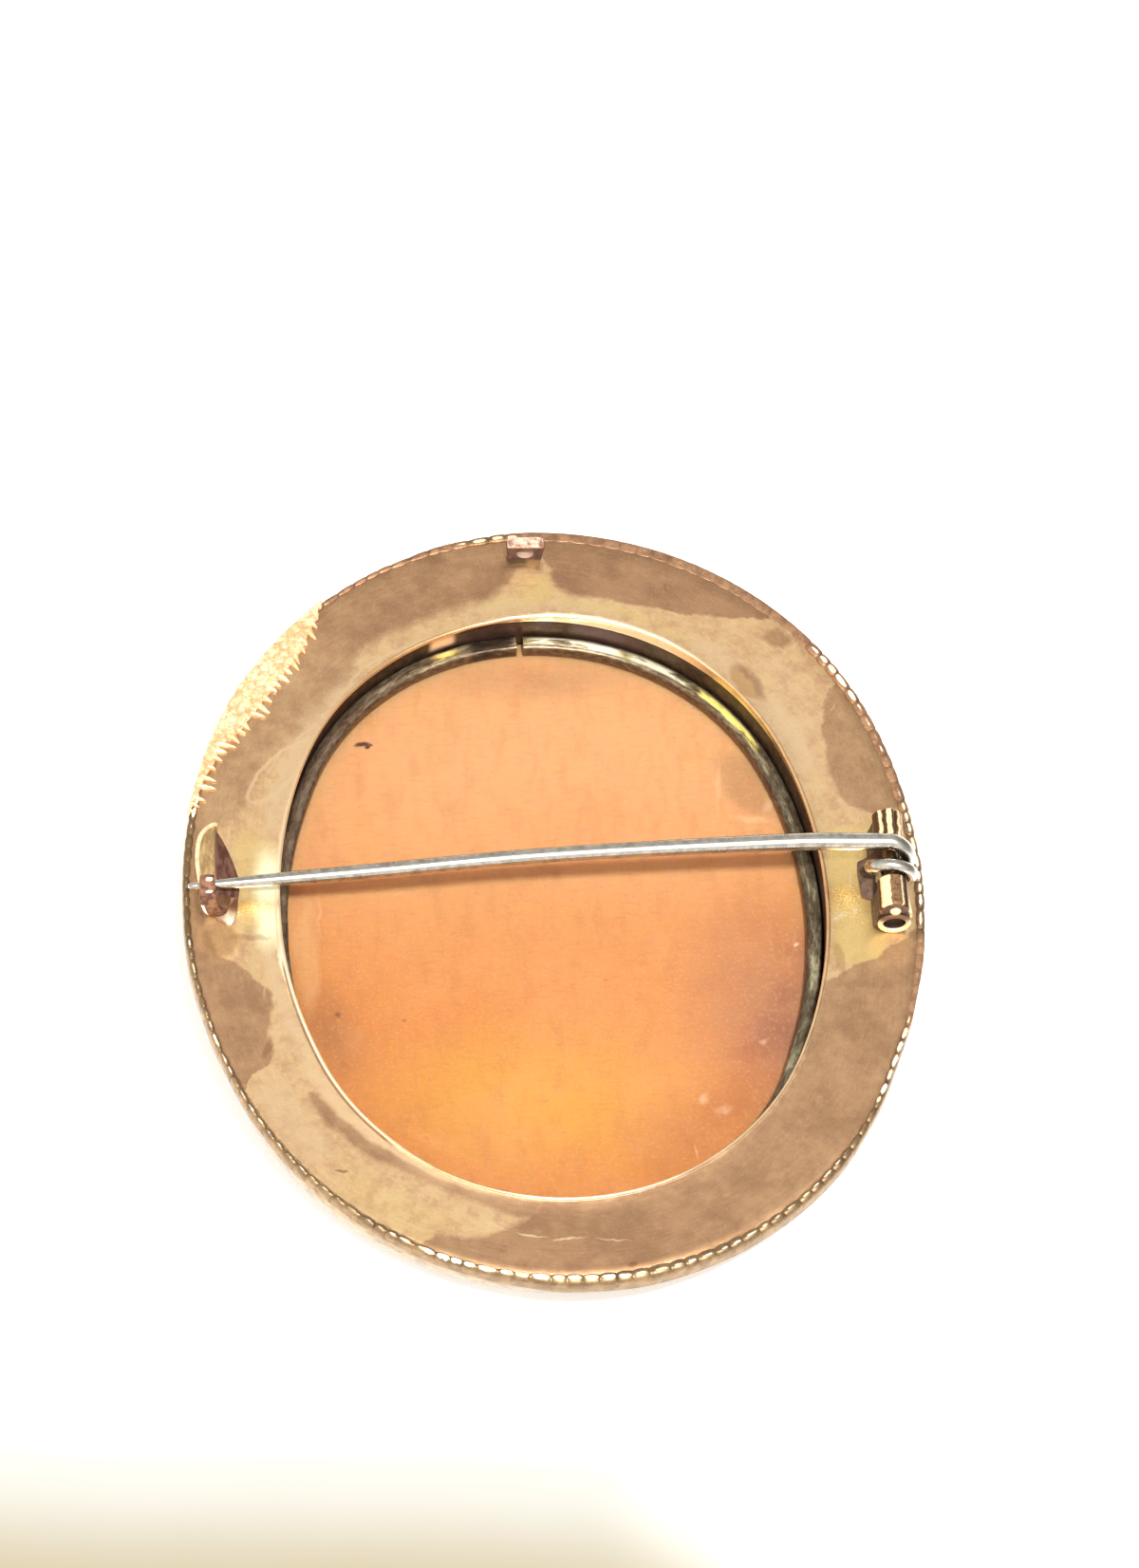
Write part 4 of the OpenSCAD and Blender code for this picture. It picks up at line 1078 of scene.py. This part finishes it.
# outline of the catch's foot: distance up, left edge, ridge, right edge
LEAF = [
    (-1.25, -18.35, -18.1, -17.95), (-1.0, -18.75, -18.1, -17.75), (-0.4, -19.05, -18.2, -17.62),
    (0.3, -19.4, -18.4, -17.55), (1.0, -19.62, -18.7, -17.45), (1.8, -19.72, -18.8, -17.48),
    (2.7, -19.78, -18.8, -17.72), (3.6, -19.72, -18.78, -18.02), (4.3, -19.55, -18.72, -18.32),
    (4.8, -19.28, -18.68, -18.58), (5.15, -18.9, -18.66, -18.62),
]
# section of the hook's strip: shares of its half width and of its thickness
STRIP = (
    (-1, -0.4), (-1, 0.3), (-0.85, 0.48), (-0.45, 0.56), (0, 0.6), (0.4, 0.56), (0.85, 0.48),
    (1, 0.3), (1, -0.4), (0.8, -0.5), (-0.8, -0.5),
)


def make_catch_leaf():
    rows, rim_line, left, bright = [], [], [], []
    for y, x0, xr, x1 in LEAF:
        # left marks the slope painted as lit, bright the painted highlight on the lower end
        left += [1.0] * 5 + [0.0] * 4
        end = 1.0 if y < -1.2 else 0.5 if y < -0.9 else 0.0
        bright += [0.0, 0.0, 0.0, 0.3 * end, end, end, end, 0.0, 0.0]
        rise = min(1, (y + 1.3) / 1.6, (5.3 - y) / 1.1)
        low, top, rim = BODY_H - 0.04, BODY_H + 0.12 + 0.52 * rise, BODY_H + 0.1 + 0.28 * rise
        section = [(x0, low), (x0, rim), (x0 + 0.12, rim + 0.02)]
        section += [(x0 * 0.6 + xr * 0.4, rim * 0.55 + top * 0.45 - 0.06), (xr - 0.04, top)]
        section += [(xr + 0.04, top - 0.03), ((xr + x1) / 2, (top + BODY_H) / 2 - 0.02)]
        section += [(x1 - 0.02, BODY_H + 0.08), (x1, low)]
        rows.append([Vector((x, y, z)) for x, z in section])
        rim_line.append((x0 + 0.03, y, rim))
    mesh = loft(rows, capped=True)
    piece("catch_leaf", mesh, leaf_look(), "plate_gold", sharp=30, left=left, bright=bright)
    line = smooth_path(rim_line[2:] + [(-18.62, 5.12, BODY_H + 0.3)], 6)
    line = [p + Vector((-0.02, 0, 0.05)) for p in line]
    n = len(line)
    radii = [0.135 * min(1, 0.35 + i / 5, 0.75 + (n - i) / 12) for i in range(n)]
    piece("catch_rim", tube(line, radii, 10), WORN_AND_SHEEN, "plate_gold", sharp=50)


def make_hook(n=36):
    """A strip that goes round the wire's place from above the plate, and drifts to the left."""
    rows, bright = [], []
    mid = HOOK_R - HOOK_T / 2
    for t in (i / n for i in range(n + 1)):
        a = radians(-80 - 205 * t)
        x = -18.2 - 1.15 * min(1, t * 1.5) ** 0.8
        w = HOOK_W * (1 - 0.18 * t) / 2
        c = Vector((x, 0.17 + mid * cos(a), BODY_H + HOOK_R + mid * sin(a)))
        out = Vector((0, cos(a), sin(a)))
        rows.append([c + Vector((w * q, 0, 0)) + out * (HOOK_T * o) for q, o in STRIP])
        for q, o in STRIP:
            # bright marks the painted highlight: the left edge and two spots on the crown
            edge = q < -0.8 and o > -0.45 and 0.2 < t < 0.6
            spot = abs(q) < 0.42 and o > 0 and (0.9 < t < 0.97 or 0.76 < t < 0.79 and q > -0.3)
            bright.append(1.0 if edge or spot else 0.0)
    mesh = loft(rows, capped=True)
    piece("catch_hook", mesh, hook_look(), "plate_gold", sharp=40, bright=bright)


def ray_out(angle, polygon):
    """How far out a ray from the origin meets a polygon."""
    c, s = cos(angle), sin(angle)
    far = 0.0
    for (x0, y0), (x1, y1) in zip(polygon, polygon[1:] + polygon[:1]):
        dx, dy = x1 - x0, y1 - y0
        det = c * dy - s * dx
        if abs(det) < 1e-9:
            continue
        t = (x0 * dy - y0 * dx) / det
        k = (x0 * s - y0 * c) / det
        if t > 0 and -1e-6 <= k <= 1 + 1e-6:
            far = max(far, t)
    return far


def make_lug():
    foot, top, h = LUG_FOOT_W / 2, LUG_W / 2, LUG_H
    right = [(foot, -0.1), (top, h - 0.3), (top - 0.08, h - 0.1), (top - 0.28, h)]
    shape = [(-foot, -0.1)] + right + [(-x, z) for x, z in right[:0:-1]]
    moved = [(x, z - LUG_HOLE_Z) for x, z in shape]
    x, z = LUG_X, BODY_H + LUG_HOLE_Z
    rows = []
    for y, inset in ((-0.5, 0.07), (-0.4, 0), (0.4, 0), (0.5, 0.07)):
        reach = [(ray_out(a, moved) - inset, a) for a in turns(48)]
        y = LUG_Y + y * LUG_T
        rows.append([Vector((x + r * cos(a), y, z + r * sin(a))) for r, a in reach])
    bore = ((0.5, LUG_HOLE_R + 0.05), (0.4, LUG_HOLE_R), (-0.4, LUG_HOLE_R), (-0.5, LUG_HOLE_R + 0.05))
    rows += turned(x, LUG_Y, z, [(y * LUG_T, r) for y, r in bore])
    piece("lug_body", loft(rows), lug_look(), "plate_gold", sharp=30)


# ---- cameo, ring, pin and rivet
BLOSSOMS = [  # across, up, radius in half widths, petals, turn, height
    (0.02, 0.06, 0.36, 5, 18, 1.0), (-0.3, 0.5, 0.25, 5, 50, 0.8), (0.3, -0.44, 0.25, 5, 0, 0.8),
    (0.34, 0.56, 0.16, 5, 30, 0.65), (-0.28, -0.6, 0.16, 5, 10, 0.65),
]
LEAVES = [  # stalk across, up, length, half width, turn, height
    (0.15, 0.3, 0.5, 0.13, 60, 0.6), (0.25, 0.2, 0.46, 0.13, 20, 0.6), (-0.15, 0.35, 0.6, 0.13, 95, 0.55),
    (-0.25, 0.15, 0.44, 0.13, 160, 0.6), (-0.2, -0.1, 0.44, 0.13, 205, 0.6),
    (-0.1, -0.2, 0.6, 0.14, 245, 0.55), (0.1, -0.25, 0.66, 0.13, 275, 0.55),
    (0.25, -0.1, 0.44, 0.13, 335, 0.6),
]
CAMEO_W = HALF_W - 0.08


def relief(x, y):
    """How far the carving stands out of the cameo's front."""
    best = 0.0
    for bx, by, br, petals, turn, high in BLOSSOMS:
        dx, dy = x / CAMEO_W - bx, y / CAMEO_W - by
        r = hypot(dx, dy) / br
        lobe = abs(cos(petals * (atan2(dy, dx) - radians(turn)) / 2))
        edge = 0.7 + 0.3 * lobe**0.6
        if r < 0.24:
            best = max(best, high * (0.72 + 0.28 * cos(r / 0.24 * pi / 2)))
        elif r < edge:
            h = high * (0.5 + 0.5 * r / edge) * (1 - (r / edge) ** 5) ** 0.5
            best = max(best, h * (0.72 + 0.28 * lobe))
    for lx, ly, length, half, turn, high in LEAVES:
        dx, dy = x / CAMEO_W - lx, y / CAMEO_W - ly
        c, s = cos(radians(turn)), sin(radians(turn))
        along, across = (dx * c + dy * s) / length, abs((dy * c - dx * s) / half)
        w = sin(pi * along**0.8) ** 0.8 if 0 < along < 1 else 0
        if across < w:
            vein = 0.1 * abs(sin(9 * pi * (along + 0.25 * across)))
            vein += 0.12 if across < 0.08 else 0
            best = max(best, high * (0.45 + 0.55 * (1 - across / w) ** 0.4 - vein))
    return 0.6 * best


def make_cameo():
    rim = [at(s, -0.08, 0) for s in stations(0.42, u=-0.08)]
    verts, faces = [], []
    m = len(rim)
    face_in, backs, fronts = 0.92, 24, 90

    def back(q, share):
        return SHELL_BACK - 0.25 * (1 - share * share)

    def front(q, share):
        k = min(1, share / face_in)
        carved = relief(q.x, q.y) if share < 0.87 else 0
        return SHELL_EDGE - 0.3 * (1 - k * k) ** 0.8 - carved

    def ring(share, height):
        for q in (p * share for p in rim):
            verts.append(Vector((q.x, q.y, height(q, share))))
        return len(verts) - m

    def skin(starts, height=None):
        """Faces between rings, and a fan over the last one where there is a height."""
        for a, b in zip(starts, starts[1:]):
            faces.extend((a + j, a + (j + 1) % m, b + (j + 1) % m, b + j) for j in range(m))
        if height:
            a = starts[-1]
            verts.append(Vector((0, 0, height(Vector((0, 0, 0)), 0))))
            faces.extend((a + j, a + (j + 1) % m, len(verts) - 1) for j in range(m))

    edge = [ring(1.0, lambda q, s: SHELL_BACK - 0.06)]
    skin(edge + [ring(0.996, back)] + [ring(s / backs, back) for s in range(backs - 1, 0, -1)], back)
    edge.append(ring(1.0, lambda q, s: SHELL_EDGE))
    skin(edge)
    inner = [ring(face_in * (1 - k / fronts), front) for k in range(fronts)]
    skin(edge[1:] + inner, front)
    piece("shell_cameo", (verts, faces), shell_look(), "shell", "cameo", sharp=40)


def make_ring(n=20):
    """The split wire, of rounded section, a little uneven as it was bent by hand."""
    mid_u = -RING_T / 2 - 0.04
    half = RING_T / 2
    r = END_R + mid_u
    start = acos((SPLIT_X - RING_SPLIT / 2) / r)
    end = acos((SPLIT_X + RING_SPLIT / 2) / r)
    left, right = cos(start) * r - 0.25, cos(end) * r + 0.25
    whole = [s for s in stations(0.4) if s[1] != END_C or not left < r * cos(s[2]) < right]
    first = next(i for i, s in enumerate(whole) if s[1] == END_C and s[2] > start)
    ends = [(0, END_C, a, END_R) for a in (start, end)]
    rows = []
    for i, s in enumerate(ends[:1] + whole[first:] + whole[:first] + ends[1:]):
        row = []
        wave = 0.02 * noise.noise(Vector((i * 0.09, 3, 0)))
        for a in turns(n):
            x, z = (half * copysign(abs(c) ** 0.5, c) for c in (cos(a), sin(a)))
            x = half - (half - x) * value_at(RING_WIDE, angle_of(s, -0.5))
            row.append(at(s, mid_u + x * 0.98 + wave - 0.02, RING_Z + half + z * 0.98))
        rows.append(row)
    mesh = loft(rows, capped=True)
    piece("split_ring", mesh, ring_look(), "ring_metal", "retaining_ring", sharp=50)


# the stem from its point to the hinge: across, along, height above the plate, radius
STEM = [
    (-20.40, 0.53, 1.3, 0.05), (-20.32, 0.53, 1.3, 0.13), (-20.1, 0.54, 1.31, 0.18),
    (-19.6, 0.56, 1.33, 0.22), (-18.6, 0.6, 1.38, 0.27), (-17.2, 0.68, 1.44, 0.31),
    (-14.5, 0.83, 1.57, 0.38), (-9.68, 1.11, 1.8, 0.42), (-1.7, 1.62, 2.2, 0.43),
    (6.28, 1.86, 2.58, 0.45), (13.74, 1.98, 2.88, 0.49), (17.0, 1.88, 3.0, 0.5),
    (HINGE_X, COIL_Y1, AXIS_Z + COIL_R - BODY_H, 0.47),
]


def make_pin():
    path = smooth_path([(x, y, BODY_H + z) for x, y, z, _r in STEM])
    radii = [q.x for q in smooth_path([(r, 0, 0) for _x, _y, _z, r in STEM])]
    steps, coils = 96, 1.6
    for i in range(1, steps + 1):
        t = i / steps * coils
        a = radians(90 - 360 * t)
        k = min(1, t * 1.6)
        wide, high = COIL_R + 0.16 * k, COIL_R - 0.2 * k
        y = COIL_Y1 + (COIL_Y0 - 0.1 - COIL_Y1) * min(1, t * 1.15) + 0.16 * k * (1 - cos(a))
        path.append(Vector((HINGE_X + wide * cos(a), y, AXIS_Z + high * sin(a))))
        radii.append(0.47 - 0.1 * min(1, 1.4 * t))
    piece("pin_wire", tube(path, radii, 20), STEEL, "pin_steel", "pin", "pin", sharp=60)


def make_rivet():
    ends = ((0, 0.14), (0.02, 0.27), (0.07, 0.37), (0.16, RIVET_R))
    rows = turned(HINGE_X, HINGE_Y + 0.35, AXIS_Z, ends, 32)
    rows += turned(HINGE_X, HINGE_Y1 - 0.35, AXIS_Z, [(-d, r) for d, r in reversed(ends)], 32)
    mesh = loft(rows, capped=True)
    piece("hinge_rivet_pin", mesh, BRASS, "rivet_metal", "hinge_rivet", sharp=50)


make_border()
make_milled_edge()
make_fringe()
make_plate()
make_hinge()
make_catch_leaf()
make_hook()
make_lug()
make_cameo()
make_ring()
make_pin()
make_rivet()


# ---- floor, light and camera
def make_floor(size=1.5):
    """White card that glows a little, so that shadows stay faint; it turns grey and then cream toward the
    front, more on the left.
    """
    k = Look("floor_white")
    place = k.math("MULTIPLY_ADD", k.x, 0.05, k.y) + (k.noise(0.05) - 0.5) * 2.0
    left_end = k.ramp(k.x, -46.0, -36.0) * k.ramp(place, -54.0, -45.0)
    fade = k.ramp(k.x, 20.0, 0.0) * left_end
    k.colour = k.mix(k.ramp(place, -28.0, -33.5) * fade, (252, 252, 252), (163, 162, 157))
    k.coat(k.ramp(place, -33.0, -41.5) * fade, (139, 129, 106))
    me = bpy.data.meshes.new("floor")
    corners = [(x * size, y * size, 0) for x, y in ((-1, -1), (1, -1), (1, 1), (-1, 1))]
    me.from_pydata(corners, [], [(0, 1, 2, 3)])
    me.materials.append(k.done(0.0, 0.7, Emission_Color=k.colour, Emission_Strength=0.36))
    shown("floor", me)


def make_light(toward=(0.05, -0.37, 0.93), distance=0.9, size=0.06, watts=12.0):
    """One small light from high in front."""
    data = bpy.data.lights.new("key", "AREA")
    data.shape = "RECTANGLE"
    data.size = data.size_y = size
    data.energy = watts
    obj = shown("key", data)
    toward = Vector(toward).normalized()
    obj.location = toward * distance
    obj.rotation_mode = "QUATERNION"
    obj.rotation_quaternion = toward.to_track_quat("Z", "Y")


def make_room():
    """Pale surroundings: bright low in front and on the left, duller behind, darker on the right."""
    world = bpy.data.worlds.new("room")
    bpy.context.scene.world = world
    world.use_nodes = True
    k = Nodes(world.node_tree)
    x, y, _z = k.split(k.wire("ShaderNodeTexCoord", output="Generated"))
    front = k.ramp(y, -0.65, 0.25, 1.4, 0.8)
    right = k.ramp(x, 0.15, 0.85, 1.0, 0.45)
    left = k.ramp(x, -0.9, -0.3, 1.3, 1.0)
    background = world.node_tree.nodes["Background"]
    k.put(background.inputs[1], front * right * left)
    background.inputs[0].default_value = (1.0, 0.975, 0.92, 1)


# The camera as it was fitted to the photo: pixels a millimetre at the plate, its distance and
# angles, and where the middle of the plate lies in the photo
PX_PER_MM, DISTANCE = 18.8, 500.0
ELEVATION, AZIMUTH, ROLL = 59.0, -9.0, 7.0
PHOTO_W, PHOTO_H = 1200, 1652
MIDDLE_X, MIDDLE_Y = 581.0, 950.0
SENSOR = 36


def make_camera():
    e, a, r = (radians(v) for v in (ELEVATION, AZIMUTH, ROLL))
    back = Vector((sin(a) * cos(e), -cos(a) * cos(e), sin(e)))
    level = Vector((cos(a), sin(a), 0))
    up = back.cross(level)
    right = level * cos(r) + up * sin(r)
    up = -level * sin(r) + up * cos(r)
    middle = Vector((0, 0, BODY_H))
    eye = middle + back * DISTANCE
    aside, above = (PHOTO_W / 2 - MIDDLE_X) / PX_PER_MM, (MIDDLE_Y - PHOTO_H / 2) / PX_PER_MM
    look = (eye - (middle + right * aside + up * above)).normalized()
    right = (right - look * right.dot(look)).normalized()
    up = look.cross(right)
    data = bpy.data.cameras.new("camera")
    data.sensor_width = SENSOR
    data.lens = SENSOR * PX_PER_MM * DISTANCE / PHOTO_H
    data.clip_start, data.clip_end = 0.01, 10
    obj = shown("camera", data)
    rows = [(right[i], up[i], look[i], eye[i] * MM) for i in range(3)]
    obj.matrix_world = Matrix((*rows, (0, 0, 0, 1)))
    bpy.context.scene.camera = obj


make_floor()
make_light()
make_room()
make_camera()
bpy.context.scene.view_settings.view_transform = "Standard"
